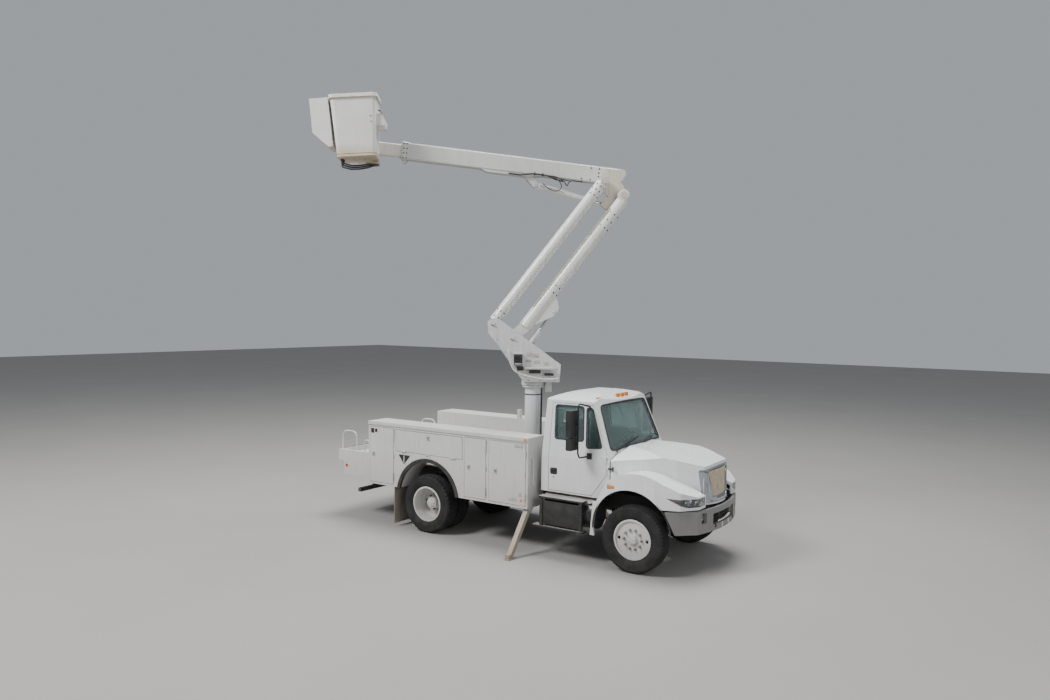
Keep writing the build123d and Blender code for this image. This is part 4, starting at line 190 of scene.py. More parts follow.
def worn_paint(name, colour, dust, rust, gloss=0.35, dust_top=1.2, dust_low=0.3, dust_most=0.6,
               chips=0.5, streaks=0.12, coat=0.2, fixed=None):
    """Paint that clouds slightly, gathers dust low down, streaks under rain and chips on its edges."""
    finish = Finish(name)
    clouds = finish.noise(1.7, 6.0)
    fine = finish.noise(23.0, 8.0)
    grains = finish.noise(180.0, 2.0)
    runs = finish.noise(9.0, 5.0, stretch=(2.6, 2.6, 0.16)).between(0.48, 0.75)
    height_share = 1.0 - finish.z.between(dust_low, dust_top)
    dusty = (height_share * (0.35 + clouds) * dust_most + fine.between(0.5, 0.85) * 0.06).held()
    body = finish.mix(clouds.between(0.35, 0.7), tuple(c * 0.93 for c in colour), colour)
    body = finish.mix(runs * streaks, body, tuple(c * 0.62 for c in dust))
    body = finish.mix(dusty, body, dust)
    chipped = (finish.edge(0.006) * fine.between(0.52, 0.6) * chips).held()
    body = finish.mix(chipped, body, rust)
    rough = (gloss + dusty * 0.4 + fine * 0.08 + chipped * 0.3).held()
    return finish.surface(body, rough, grains * 0.3 + fine, 0.0006, 0.004,
                          {"Coat Weight": coat, "Coat Roughness": 0.12, **(fixed or {})})


def dress(material, *nodes):
    """Give CAD nodes their material, in each of their slots."""
    for node in nodes:
        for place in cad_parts[node].material_slots:
            place.material = material


chassis_black = worn_paint("chassis_black", (0.022, 0.022, 0.024), (0.17, 0.145, 0.12), (0.16, 0.065, 0.03),
                           gloss=0.5, dust_top=1.1, dust_low=0.1, dust_most=0.55, chips=0.8, coat=0.0)
dress(chassis_black, "frame_rails", "rear_bar")

# Engine block, gearbox and exhaust: cast iron and plain steel tube under road dirt.
# They show only from below and behind the grille.
raw_casting = worn_paint("raw_casting", (0.11, 0.11, 0.115), (0.14, 0.12, 0.1), (0.13, 0.06, 0.03),
                         gloss=0.62, dust_top=1.3, chips=0.6, coat=0.0)
dress(raw_casting, "powertrain", "steering_knuckle_right", "steering_knuckle_left")

# Axles and leaf springs: forged and rolled steel, black paint gone brown with road dirt.
axle_black = worn_paint("axle_black", (0.03, 0.028, 0.026), (0.16, 0.13, 0.1), (0.17, 0.075, 0.035),
                        gloss=0.6, dust_top=0.9, dust_low=0.1, dust_most=0.8, chips=0.9, coat=0.0)
dress(axle_black, "axles")

# Springs' U-bolts: round steel bars bent over each leaf spring, which clamp it to its axle.
# Each seat has two of them, painted black with the axles.
SPRING_Y = 0.394


def grid_faces(rows, columns, round_rows=False, round_columns=False):
    """Quads between neighbouring points of a grid numbered row by row; either way may close."""
    r = np.arange(rows if round_rows else rows - 1)[:, None]
    c = np.arange(columns if round_columns else columns - 1)[None, :]
    below, beside = (r + 1) % rows, (c + 1) % columns
    quads = (r * columns + c, r * columns + beside, below * columns + beside, below * columns + c)
    return np.stack([np.broadcast_to(q, (len(r), c.shape[1])) for q in quads], -1).reshape(-1, 4)


def joined(*shapes):
    """Several shapes as one: points stacked, faces renumbered."""
    points, faces, count = [], [], 0
    for pts, groups in shapes:
        points.append(pts)
        faces += [group + count for group in groups]
        count += len(pts)
    return np.concatenate(points), faces


def unit(v):
    """Vectors divided by their own lengths."""
    v = np.asarray(v, float)
    return v / np.linalg.norm(v, axis=-1, keepdims=True)


def carried(profile, path, loop=False, up=(0, 0, 1)):
    """A closed profile carried along a path: point = path + a * side + b * top, square to the run."""
    path, profile = np.asarray(path, float), np.asarray(profile, float)
    if loop:
        run = unit(np.roll(path, -1, 0) - np.roll(path, 1, 0))
    else:
        run = unit(np.gradient(path, axis=0))
    side = np.cross(np.broadcast_to(np.asarray(up, float), run.shape), run)
    size = np.linalg.norm(side, axis=1, keepdims=True)
    side = np.where(size > 1e-6, side / np.maximum(size, 1e-9), (1.0, 0.0, 0.0))
    top = np.cross(run, side)
    points = (path[:, None] + profile[None, :, :1] * side[:, None] + profile[None, :, 1:] * top[:, None])
    rows, columns = points.shape[:2]
    faces = [grid_faces(rows, columns, loop, True)]
    if not loop:
        ends = np.arange(columns)
        faces.append(np.stack([ends[::-1], ends + (rows - 1) * columns]))
    return points.reshape(-1, 3), faces


def ring_profile(radius, count=12):
    """A circle's points: radius * (cos, sin) of equal steps."""
    angle = np.arange(count) * 2 * math.pi / count
    return radius * np.stack([np.cos(angle), np.sin(angle)], -1)


def smoothed(points, steps):
    """A Catmull-Rom curve through points: cubic between each pair, steps points a span."""
    p = np.asarray(points, float)
    p = np.concatenate([2 * p[:1] - p[1:2], p, 2 * p[-1:] - p[-2:-1]])
    t = (np.arange(steps) / steps)[None, :, None]
    a, b, c, d = (p[i:len(p) - 3 + i][:, None] for i in range(4))
    curve = 0.5 * (2 * b + (c - a) * t + (2 * a - 5 * b + 4 * c - d) * t ** 2
                   + (3 * b - a - 3 * c + d) * t ** 3)
    return np.concatenate([curve.reshape(-1, p.shape[1]), p[-2:-1]])


def bar(points, radius, bend=8):
    """A round bar along a smooth curve through points."""
    return carried(ring_profile(radius), smoothed(points, bend), up=(0.13, 0.21, 0.97))


def piping(line, radius, up, sides=8):
    """A round bead along a closed line."""
    return carried(ring_profile(radius, sides), line, True, up)


def strip_profile(half_width, half_depth):
    """A flat bar's section, for carried."""
    return np.array([(-half_width, -half_depth), (half_width, -half_depth),
                     (half_width, half_depth), (-half_width, half_depth)])


def turned(profile, centre=(0, 0, 0), axis=(0, 0, 1), count=32, closed=False):
    """A body of revolution: centre + h * axis + r * (cos, sin) across it, for (r, h) in profile."""
    axis = unit(axis)
    helper = np.array([0.0, 0.0, 1.0]) if abs(axis[2]) < 0.9 else np.array([1.0, 0.0, 0.0])
    across = unit(np.cross(helper, axis))
    other = np.cross(axis, across)
    profile = np.asarray(profile, float)
    angle = np.arange(count) * 2 * math.pi / count
    spoke = np.cos(angle)[:, None] * across + np.sin(angle)[:, None] * other
    points = (np.asarray(centre, float) + profile[None, :, 1:] * axis
              + profile[None, :, :1] * spoke[:, None])
    return points.reshape(-1, 3), [grid_faces(count, len(profile), True, closed)]


def block(centre, size, axes=None, soft=0.004):
    """A block with round edges: a round-cornered outline carried up, drawn in at both ends."""
    sx, sy, sz = (0.5 * v for v in size)
    soft = min(soft, 0.45 * min(size))
    turn = np.arange(4)[:, None] * math.pi / 2 + np.linspace(0, math.pi / 2, 4)[None, :]
    corner = np.array([[1, 1], [-1, 1], [-1, -1], [1, -1]], float)[:, None]
    wave = np.stack([np.cos(turn), np.sin(turn)], -1)
    rows = []
    for height, inset in ((-sz, soft), (-sz + soft * 0.3, soft * 0.3), (-sz + soft, 0.0),
                          (sz - soft, 0.0), (sz - soft * 0.3, soft * 0.3), (sz, soft)):
        flat = corner * (np.array([sx, sy]) - soft) + wave * max(soft - inset, 1e-5)
        flat = flat.reshape(-1, 2)
        rows.append(np.column_stack([flat, np.full(len(flat), height)]))
    points = np.stack(rows)
    axes = np.eye(3) if axes is None else np.asarray(axes, float)
    placed = points.reshape(-1, 3) @ axes + np.asarray(centre, float)
    ends = np.arange(points.shape[1])
    return placed, [grid_faces(6, points.shape[1], False, True),
                    np.stack([ends[::-1], ends + 5 * points.shape[1]])]


def copies(shape, places, outward):
    """Copies of a small shape: its z turned to each outward direction, moved to each place."""
    points, faces = shape
    places = np.atleast_2d(np.asarray(places, float))
    z = np.broadcast_to(unit(outward), places.shape)
    helper = np.where(np.abs(z[:, 2:]) < 0.9, (0.0, 0.0, 1.0), (1.0, 0.0, 0.0))
    x = unit(np.cross(helper, z))
    axes = np.stack([x, np.cross(z, x), z], 1)
    placed = np.einsum("pk,nkj->npj", points, axes) + places[:, None]
    shift = (np.arange(len(places)) * len(points))[:, None, None]
    return placed.reshape(-1, 3), [(face[None] + shift).reshape(-1, face.shape[1]) for face in faces]


def bolts(radius, height, places, outward):
    """Hexagon heads, each on its washer, at places and facing outward."""
    head = turned([(0, 0), (radius, 0), (radius, height * 0.85), (radius * 0.86, height), (0, height)],
                  count=6)
    washer = turned([(0, 0), (radius * 1.35, 0), (radius * 1.35, height * 0.22), (0, height * 0.22)],
                    count=16)
    return copies(joined(head, washer), places, outward)


def made(name, body, material, slot, *shapes, sharp=35):
    """One piece: the shapes joined in the truck's frame, closed, facing outwards, riding on a body."""
    points, faces = joined(*shapes)
    mesh = bpy.data.meshes.new(name)
    loops = np.concatenate([group.ravel() for group in faces]).astype(np.int32)
    sizes = np.concatenate([np.full(len(group), group.shape[1]) for group in faces])
    starts = np.concatenate([[0], np.cumsum(sizes)[:-1]]).astype(np.int32)
    mesh.vertices.add(len(points))
    mesh.vertices.foreach_set("co", (points + ORIGIN).astype(np.float32).ravel())
    mesh.loops.add(len(loops))
    mesh.loops.foreach_set("vertex_index", loops)
    mesh.polygons.add(len(sizes))
    mesh.polygons.foreach_set("loop_start", starts)
    mesh.update(calc_edges=True)
    mesh.validate()
    work = bmesh.new()
    work.from_mesh(mesh)
    bmesh.ops.remove_doubles(work, verts=work.verts, dist=0.00002)
    bmesh.ops.recalc_face_normals(work, faces=work.faces)
    work.to_mesh(mesh)
    work.free()
    mesh.polygons.foreach_set("use_smooth", np.ones(len(mesh.polygons), dtype=bool))
    mesh.set_sharp_from_angle(angle=math.radians(sharp))
    mesh.materials.append(material)
    piece = bpy.data.objects.new(name, mesh)
    bpy.context.scene.collection.objects.link(piece)
    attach(piece, body)
    return piece


u_bolts = []
for axle_x, seat, top in ((0.0, 0.395, 0.535), (REAR_X, 0.53, 0.695)):
    for x in (axle_x - 0.05, axle_x + 0.05):
        for y in (-SPRING_Y, SPRING_Y):
            u_bolts.append(bar([(x, y - 0.052, seat), (x, y - 0.052, top - 0.02), (x, y, top + 0.012),
                                (x, y + 0.052, top - 0.02), (x, y + 0.052, seat)], 0.009, bend=4))
made("spring_u_bolts", "chassis", axle_black, "frame_black", *u_bolts)

# Tyres: steel-belted truck tyres, ribbed in front and lugged behind.
# Black rubber with a grey bloom, road dust in the grooves and on the sidewalls.
TYRE_R = 0.4985
rubber = Finish("tyre_rubber")
mottle, pores = rubber.noise(6.0, 6.0), rubber.noise(260.0, 3.0)
grey = rubber.mix(mottle.between(0.35, 0.72), (0.012, 0.012, 0.0125), (0.026, 0.025, 0.024))
low_dust = (1.0 - rubber.z.between(0.05, 0.5)) * mottle.between(0.3, 0.9) * 0.22
tyre_rubber = rubber.surface(rubber.mix(low_dust.held(), grey, (0.15, 0.125, 0.1)),
                             0.72 + pores * 0.18, pores + mottle, 0.0008, 0.0,
                             {"Specular IOR Level": 0.35})
SIDEWALL = ((0.292, 0.098), (0.301, 0.106), (0.312, 0.117), (0.330, 0.1245), (0.352, 0.1345),
            (0.376, 0.138), (0.400, 0.1385), (0.424, 0.1365), (0.441, 0.1335), (0.449, 0.1345),
            (0.458, 0.1315), (0.470, 0.1265), (0.482, 0.1205), (0.4915, 0.110), (0.4955, 0.1015))
FRONT_SLOTS, REAR_SLOTS = 56, 44
GROOVES, TREAD_DEPTH = ((0.034, 0.0055), (0.076, 0.0045)), 0.013


def tyre(centre, slots, phase=0.0):
    """A tyre: r and y run along the section, r drops by the groove depth where the pattern is open.

    Ribs are parted by round grooves at fixed y; lugs by slots at equal angles, slanted with y.
    """
    count = slots * 8
    lugged = slots == REAR_SLOTS
    shoulder = np.array(SIDEWALL)
    tread_y = np.linspace(0.1, -0.1, 41)
    crown = TYRE_R - 0.0035 * (tread_y / 0.1) ** 2
    r = np.concatenate([shoulder[:, 0], crown, shoulder[::-1, 0]])
    y = np.concatenate([shoulder[:, 1], tread_y, -shoulder[::-1, 1]])
    step = (np.arange(count) / 8.0)[:, None] + phase
    slant = step + 3.2 * y[None, :] * np.sign(y[None, :])
    on_tread = (np.abs(y) < 0.122) & (r > 0.478)
    ribs = np.any([np.abs(np.abs(y) - groove_y) < half_width for groove_y, half_width in GROOVES], 0)
    slot = (slant % 1.0) < (0.30 if lugged else 0.14)
    open_slot = slot & (np.abs(y)[None, :] > (0.05 if lugged else 0.086))
    depth = np.where((ribs[None, :] | open_slot) & on_tread[None, :], TREAD_DEPTH, 0.0)
    radius = r[None, :] - depth
    angle = (np.arange(count) * 2 * math.pi / count)[:, None]
    around = np.stack([radius * np.cos(angle), np.broadcast_to(y, radius.shape), radius * np.sin(angle)], -1)
    return (around + centre).reshape(-1, 3), [grid_faces(count, len(r), True, True)]


for name, side in SIDES:
    front = made(f"tyre_tread_front_{name}", f"wheel_front_{name}", tyre_rubber, "tyre_rubber",
                 tyre((0.0, side * FRONT_Y, AXLE_Z), FRONT_SLOTS), sharp=50)
    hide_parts(f"tyre_front_{name}")
    rear = made(f"tyre_tread_rear_{name}", f"wheels_rear_{name}", tyre_rubber, "tyre_rubber",
                tyre((REAR_X, side * REAR_OUTER_Y, AXLE_Z), REAR_SLOTS),
                tyre((REAR_X, side * REAR_INNER_Y, AXLE_Z), REAR_SLOTS, 0.4), sharp=50)
    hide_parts(f"tyres_rear_{name}")

# Wheels: pressed steel discs in white enamel, with ten nuts and a hub each.
# Brake dust browns them, and rust starts round the nuts and the hand holes.
wheel_white = worn_paint("wheel_white", (0.66, 0.655, 0.63), (0.2, 0.165, 0.13), (0.19, 0.075, 0.035),
                         gloss=0.42, dust_top=0.95, dust_low=0.1, dust_most=0.62, chips=0.9, coat=0.05)
dress(wheel_white, "wheel_front_right", "wheel_front_left", "wheels_rear_right", "wheels_rear_left")
zinc = worn_paint("zinc_nuts", (0.42, 0.41, 0.39), (0.2, 0.17, 0.14), (0.2, 0.08, 0.04), gloss=0.4,
                  dust_top=0.9, chips=0.5, coat=0.0, fixed={"Metallic": 0.85})
NUT_COUNT, NUT_CIRCLE, CAP_CIRCLE = 10, 0.143, 0.055
stud = turned([(0, 0), (0.0085, 0), (0.0085, 0.042), (0.006, 0.046), (0, 0.046)], count=12)
cap = [(0.0, 0.0), (0.066, 0.0), (0.068, 0.004), (0.066, 0.012), (0.05, 0.018), (0.028, 0.02),
       (0.024, 0.026), (0.0, 0.027)]


def wheel_ring(x, y, radius, count):
    """Points at equal angles round a wheel's axis."""
    ring = ring_profile(radius, count)
    return np.stack([x + ring[:, 0], np.full(count, y), AXLE_Z + ring[:, 1]], -1)


for name, side in SIDES:
    for end, body, x, seat_y, cap_y in (("front", f"wheel_front_{name}", 0.0, 1.1, 1.126),
                                        ("rear", f"wheels_rear_{name}", REAR_X, 0.909, 1.046)):
        out = (0, side, 0)
        spots = wheel_ring(x, side * seat_y, NUT_CIRCLE, NUT_COUNT)
        made(f"wheel_nuts_{end}_{name}", body, zinc, "bright_chrome", bolts(0.0165, 0.03, spots, out),
             copies(stud, spots, out))
        made(f"hub_cap_{end}_{name}", body, wheel_white, "paint_white",
             turned(cap, (x, side * (cap_y - 0.002), AXLE_Z), out, 40),
             bolts(0.0065, 0.007, wheel_ring(x, side * (cap_y + 0.012), CAP_CIRCLE, NUT_COUNT // 2), out))

# Cab: a pressed steel shell in white enamel, with black rubber round its glass.
# Its doors hang on outside hinges; the lower sills carry road film.
cab_white = worn_paint("cab_white", (0.74, 0.745, 0.74), (0.3, 0.27, 0.23), (0.17, 0.08, 0.045), gloss=0.24,
                       dust_top=1.5, dust_low=0.75, dust_most=0.3, chips=0.35, streaks=0.1, coat=0.5)
dress(cab_white, "cab_shell", "cab_door_right", "cab_door_left")
seal = Finish("rubber_seal")
seal_cloud = seal.noise(30.0, 5.0)
seal_black = seal.mix(seal_cloud.between(0.4, 0.75), (0.016, 0.016, 0.017), (0.06, 0.058, 0.055))
seal_rubber = seal.surface(seal_black, 0.55 + seal_cloud * 0.25, seal_cloud, 0.0006, 0.0)
glazing = Finish("window_glass")
film = glazing.noise(5.0, 6.0).between(0.45, 0.8)
window_glass = glazing.surface((0.5, 0.66, 0.64), 0.02 + film * 0.08, None, round_edges=0.0,
                               fixed={"Transmission Weight": 0.92, "IOR": 1.45, "Specular IOR Level": 0.7})
dress(window_glass, "cab_glass", "door_glass_right", "door_glass_left")
SCREEN_FOOT = np.array([-0.395, 0.0, 1.735])
SCREEN_LEAN = unit(np.array([-0.295, 0.0, 0.705]))
SCREEN_BACK = np.array([-SCREEN_LEAN[2], 0.0, SCREEN_LEAN[0]])
SCREEN_BOW = 0.12
BOW_R = (1.0 + SCREEN_BOW ** 2) / (2 * SCREEN_BOW)


def rounded(corners, radius, steps=6):
    """A closed outline with round corners: each corner a quadratic arc between its two cut points."""
    c = np.asarray(corners, float)
    before, after = unit(np.roll(c, 1, 0) - c), unit(np.roll(c, -1, 0) - c)
    t = np.linspace(0, 1, steps)[None, :, None]
    start, end = (c + before * radius)[:, None], (c + after * radius)[:, None]
    return ((1 - t) ** 2 * start + 2 * t * (1 - t) * c[:, None] + t ** 2 * end).reshape(-1, c.shape[1])


def on_screen(flat, out=0.0):
    """A point of the windscreen: foot + t up the lean + the bow of a wide cylinder at y."""
    y, t = flat[:, 0], flat[:, 1]
    bow = BOW_R - np.sqrt(BOW_R ** 2 - y ** 2) - out
    return SCREEN_FOOT + t[:, None] * SCREEN_LEAN + bow[:, None] * SCREEN_BACK + y[:, None] * (0, 1, 0)


def dense(outline, step=0.05):
    """More points along a closed outline, at equal shares of each of its sides."""
    a, b = outline[:, None], np.roll(outline, -1, 0)[:, None]
    count = max(2, int(np.max(np.linalg.norm(b - a, axis=-1)) / step))
    t = (np.arange(count) / count)[None, :, None]
    return (a + (b - a) * t).reshape(-1, outline.shape[1])


def round_box(low_corner, high_corner, radius):
    """A closed upright rectangle with round corners, with points along its sides."""
    (a0, b0), (a1, b1) = low_corner, high_corner
    return rounded([(a0, b0), (a1, b0), (a1, b1), (a0, b1)], radius)


def at_x(x, outline):
    """A (y, z) outline stood at x."""
    return np.column_stack([np.full(len(outline), x), outline])


screen = dense(rounded([(-0.885, 0.03), (0.885, 0.03), (0.785, 0.734), (-0.785, 0.734)], 0.07))
gasket = np.array([(-0.012, -0.008), (0.012, -0.008), (0.015, 0.0), (0.009, 0.006), (-0.009, 0.006),
                   (-0.015, 0.0)])
back_line = at_x(-1.64, dense(round_box((-0.449, 1.961), (0.449, 2.339), 0.06)))
made("screen_gaskets", "chassis", seal_rubber, "trim_rubber",
     carried(gasket, on_screen(screen, 0.001), True, up=(1, 0, 0.2)),
     carried(gasket, back_line, True, up=(-1, 0, 0.05)))
BELT_Z = 1.56
WINDOWS = (((-1.440, 1.838), (-0.928, 1.838), (-0.968, 2.362), (-1.470, 2.362)),
           ((-0.872, 1.745), (-0.600, 1.765), (-0.812, 2.350), (-0.915, 2.350)))


def on_cab_side(flat, side, out=0.0):
    """A point of the cab's side: y is 1.0 at the belt, 0.88 at the roof's edge and 0.988 at the sill."""
    x, z = flat[:, 0], flat[:, 1]
    above, below = 1.0 - 0.12 * (z - BELT_Z) / 0.88, 0.988 + 0.012 * (z - 0.95) / (BELT_Z - 0.95)
    y = np.where(z > BELT_Z, above, below) + out
    return np.stack([x, side * y, z], -1)


# Doors: seals round the drop and quarter glass, a pull handle in a black cup, and a lock.
# The outside mirrors are black plastic heads on a tube frame, with a plain and a wide glass.
silvered = mottled("mirror_glass", 8.0, 5.0, ((0.62, 0.66, 0.68), (0.52, 0.55, 0.57)), 0.04, 0.08,
                   fixed={"Metallic": 1.0})
plastic = Finish("black_plastic")
grain, wear = plastic.noise(420.0, 2.0), plastic.noise(4.0, 6.0).between(0.4, 0.75)
black_plastic = plastic.surface(plastic.mix(wear, (0.012, 0.012, 0.013), (0.032, 0.031, 0.03)),
                                0.42 + wear * 0.3, grain, 0.0004, 0.002)
dress(black_plastic, "mirror_right", "mirror_left")
chrome = Finish("bright_chrome")
haze, pit = chrome.noise(7.0, 7.0).between(0.45, 0.8), chrome.noise(140.0, 3.0).between(0.66, 0.74)
chrome_tone = chrome.mix(haze, (0.5, 0.55, 0.6), (0.4, 0.43, 0.46))
bright_chrome = chrome.surface(chrome.mix(pit * 0.5, chrome_tone, (0.24, 0.17, 0.12)),
                               0.05 + haze * 0.14 + pit * 0.3, None, round_edges=0.002,
                               fixed={"Metallic": 1.0})
MIRROR_Y = {"right": 1.29, "left": 1.39}
for name, side in SIDES:
    door, out, across = f"cab_door_{name}", (0, side, 0), (0, side, 0.1)
    made(f"door_seals_{name}", door, seal_rubber, "trim_rubber",
         *[carried(gasket * 0.8, on_cab_side(dense(rounded(window, 0.045)), side, 0.001), True, across)
           for window in WINDOWS])
    cup = on_cab_side(dense(round_box((-1.492, 1.285), (-1.378, 1.378), 0.02)), side, 0.001)
    made(f"handle_cup_{name}", door, black_plastic, "black_plastic", piping(cup, 0.0055, across),
         block((-1.435, side * 0.9975, 1.331), (0.108, 0.006, 0.088)),
         block((-1.435, side * 1.012, 1.355), (0.098, 0.012, 0.024), soft=0.005),
         block((-1.48, side * 1.005, 1.352), (0.012, 0.016, 0.03)),
         block((-1.39, side * 1.005, 1.352), (0.012, 0.016, 0.03)),
         block((-1.435, side * 1.0005, 1.3005), (0.1, 0.004, 0.012)))
    made(f"door_lock_{name}", door, bright_chrome, "bright_chrome",
         turned([(0, 0), (0.013, 0), (0.0145, 0.003), (0.011, 0.007), (0, 0.0075)],
                (-1.434, side * 0.995, 1.238), out, 24),
         block((-1.434, side * 1.0025, 1.238), (0.003, 0.002, 0.012)))
    y = side * MIRROR_Y[name]
    made(f"mirror_glass_{name}", door, silvered, "bright_chrome",
         block((-0.9895, y, 2.145), (0.004, 0.178, 0.366), soft=0.0015),
         block((-0.9895, y, 1.838), (0.004, 0.178, 0.158), soft=0.0015))
    made(f"mirror_rims_{name}", door, black_plastic, "black_plastic",
         *[piping(at_x(-0.9885, dense(round_box((y - 0.1, low_z), (y + 0.1, high_z), corner))), 0.007,
                  (1, 0, 0.1))
           for low_z, high_z, corner in ((1.955, 2.336, 0.03), (1.752, 1.923, 0.025))],
         bolts(0.006, 0.005, [(-0.9025, y, z) for z in (2.06, 2.23, 1.838)], (1, 0, 0)))

# Wipers: two pressed steel arms with rubber blades, each on its own pivot below the windscreen.
# They are painted black and parked low across the glass.
for number, pivot_y in ((1, -0.78), (2, 0.02)):
    line = np.array([(pivot_y, 0.0)]) + np.linspace(0, 1, 9)[:, None] * (0.7, 0.14)
    made(f"wiper_{number}", "chassis", black_plastic, "black_plastic",
         carried(strip_profile(0.007, 0.002), on_screen(line, 0.03), up=(1, 0, 0.3)),
         carried(strip_profile(0.0056, 0.0048), on_screen(line[2:] - (0.0, 0.012), 0.012), up=(1, 0, 0.3)),
         turned([(0, 0), (0.019, 0), (0.019, 0.012), (0.012, 0.02), (0, 0.02)], on_screen(line[:1], 0.012)[0],
                (0.9, 0, 0.4), 20))

# Seats, dashboard and wheel behind the glass: padded seats in grey woven cloth with piped edges,
# a grained dashboard with a cowl over its dials, and a thin-rimmed wheel with two spokes.
DRIVER_Y = 0.43
cloth = Finish("cab_fabric")
weave = cloth.wave(190.0, "Y") + cloth.wave(190.0, "Z")
rubbed = cloth.noise(5.0, 5.0)
cloth_grey = cloth.mix(rubbed.between(0.4, 0.7), (0.045, 0.045, 0.05), (0.11, 0.105, 0.1))
cab_fabric = cloth.surface(cloth_grey, 0.85, weave * 0.3 + rubbed, 0.001, 0.01, {"Sheen Weight": 0.3})
dress(cab_fabric, "cab_interior")


def cushion(centre, size, lean, crown=0.16, rows=20, columns=36):
    """A padded cushion: a superellipsoid of powers 0.35 and 0.3, its top raised by crown * (1 - r^2 / 2)."""
    across = np.linspace(-math.pi / 2, math.pi / 2, rows)[:, None]
    about = (np.arange(columns) * 2 * math.pi / columns)[None, :]

    def power(value, degree):
        """The value's size to a power, with the value's sign."""
        return np.sign(value) * np.abs(value) ** degree

    x = power(np.cos(across), 0.35) * power(np.cos(about), 0.3)
    y = power(np.cos(across), 0.35) * power(np.sin(about), 0.3)
    z = power(np.sin(across), 0.35) * np.ones_like(about)
    rise = crown * np.clip(1 - 0.5 * (x ** 2 + y ** 2), 0, 1) * (z > 0)
    flutes = 0.03 * np.cos(y * 3 * math.pi) * (z > 0.5)
    flat = np.stack([x * size[0] / 2, y * size[1] / 2, (z + rise + flutes) * size[2] / 2], -1).reshape(-1, 3)
    c, s = math.cos(math.radians(lean)), math.sin(math.radians(lean))
    axes = np.array([(c, 0, s), (0, 1, 0), (-s, 0, c)])
    return flat @ axes + np.asarray(centre), [grid_faces(rows, columns, False, True)]


vinyl = Finish("dashboard_vinyl")
vinyl_grain, vinyl_fade = vinyl.noise(300.0, 2.0), vinyl.noise(3.0, 5.0)
dash_vinyl = vinyl.surface(vinyl.mix(vinyl_fade, (0.05, 0.052, 0.055), (0.1, 0.1, 0.1)),
                           0.55 + vinyl_fade * 0.2, vinyl_grain, 0.0006, 0.0)
inside_cab = []
for name, seat_y, width in (("driver", DRIVER_Y, 0.51), ("passenger", -0.33, 0.81)):
    seat = made(f"{name}_seat", "chassis", cab_fabric, "cab_fabric",
                cushion((-1.16, seat_y, 1.43), (0.47, width, 0.13), 3.0),
                cushion((-1.43, seat_y, 1.76), (0.60, width, 0.12), 100.0, crown=0.12),
                block((-1.23, seat_y, 1.22), (0.40, width - 0.08, 0.32), soft=0.03))
    inside_cab.append(seat)
dash_line = np.array([(-0.525, 1.32), (-0.75, 1.36), (-0.775, 1.50), (-0.785, 1.60), (-0.765, 1.65),
                      (-0.70, 1.692), (-0.62, 1.70), (-0.525, 1.66)])
dash_y = np.linspace(-0.84, 0.84, 33)[:, None]
cowl = 0.028 * np.exp(-((dash_y - DRIVER_Y) / 0.2) ** 2)
dash_z = dash_line[:, 1] + cowl * (dash_line[:, 1] > 1.6)
dash = np.stack(np.broadcast_arrays(dash_line[:, 0], dash_y, dash_z), -1)
ends = np.arange(len(dash_line))
inside_cab.append(made("dashboard", "chassis", dash_vinyl, "cab_fabric",
                       (dash.reshape(-1, 3), [grid_faces(*dash_z.shape, False, True),
                                              np.stack([ends[::-1], ends + dash_z.size - len(ends)])])))
column = unit((-0.82, 0.0, 0.57))
hub = np.array([-0.72, DRIVER_Y, 1.555]) + column * 0.237
aside = np.array([0.0, 1.0, 0.0])
rim = hub + ring_profile(0.212, 48) @ np.stack([aside, np.cross(column, aside)])
inside_cab.append(made(
    "steering_wheel", "chassis", black_plastic, "cab_fabric", piping(rim, 0.0125, tuple(column), 10),
    turned([(0, -0.04), (0.045, -0.03), (0.055, 0.0), (0.04, 0.014), (0, 0.018)],
           hub - column * 0.01, column, 28),
    turned([(0.028, -0.24), (0.032, -0.24), (0.034, -0.03), (0.028, -0.03)], hub, column, 20, True),
    *[bar([hub - column * 0.012 + aside * way * 0.04, hub + aside * way * 0.205], 0.011, bend=4)
      for way in (1, -1)]))
inside_cab.append(made("cab_consoles", "chassis", dash_vinyl, "cab_fabric",
                       block((-0.62, 0.0, 1.19), (0.2, 1.5, 0.26), soft=0.02),
                       cushion((-1.12, 0.1, 1.3), (0.3, 0.12, 0.42), 0.0, crown=0.02)))
for piece in inside_cab:
    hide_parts("cab_interior")

# Hood: one moulding with both fenders, white gel coat, held down by a rubber latch each side.
# It carries an amber marker on each fender and tips forward about a pin behind the grille.
hood_white = worn_paint("hood_white", (0.76, 0.765, 0.76), (0.3, 0.27, 0.23), (0.35, 0.33, 0.3), gloss=0.22,
                        dust_top=1.25, dust_low=0.5, dust_most=0.42, chips=0.3, streaks=0.08, coat=0.6)
dress(hood_white, "hood")
amber = Finish("amber_lens")
ribs = amber.wave(55.0, "DIAGONAL")
lens_dirt = amber.noise(14.0, 5.0).between(0.5, 0.8)
amber_lens = amber.surface(amber.mix(lens_dirt * 0.4, (0.78, 0.23, 0.02), (0.3, 0.17, 0.08)),
                           0.18 + lens_dirt * 0.3, ribs, 0.0008, 0.002,
                           {"Coat Weight": 0.6, "Subsurface Weight": 0.15})
ARCH_X, ARCH_Z, ARCH_R = -0.04, 0.625, 0.609
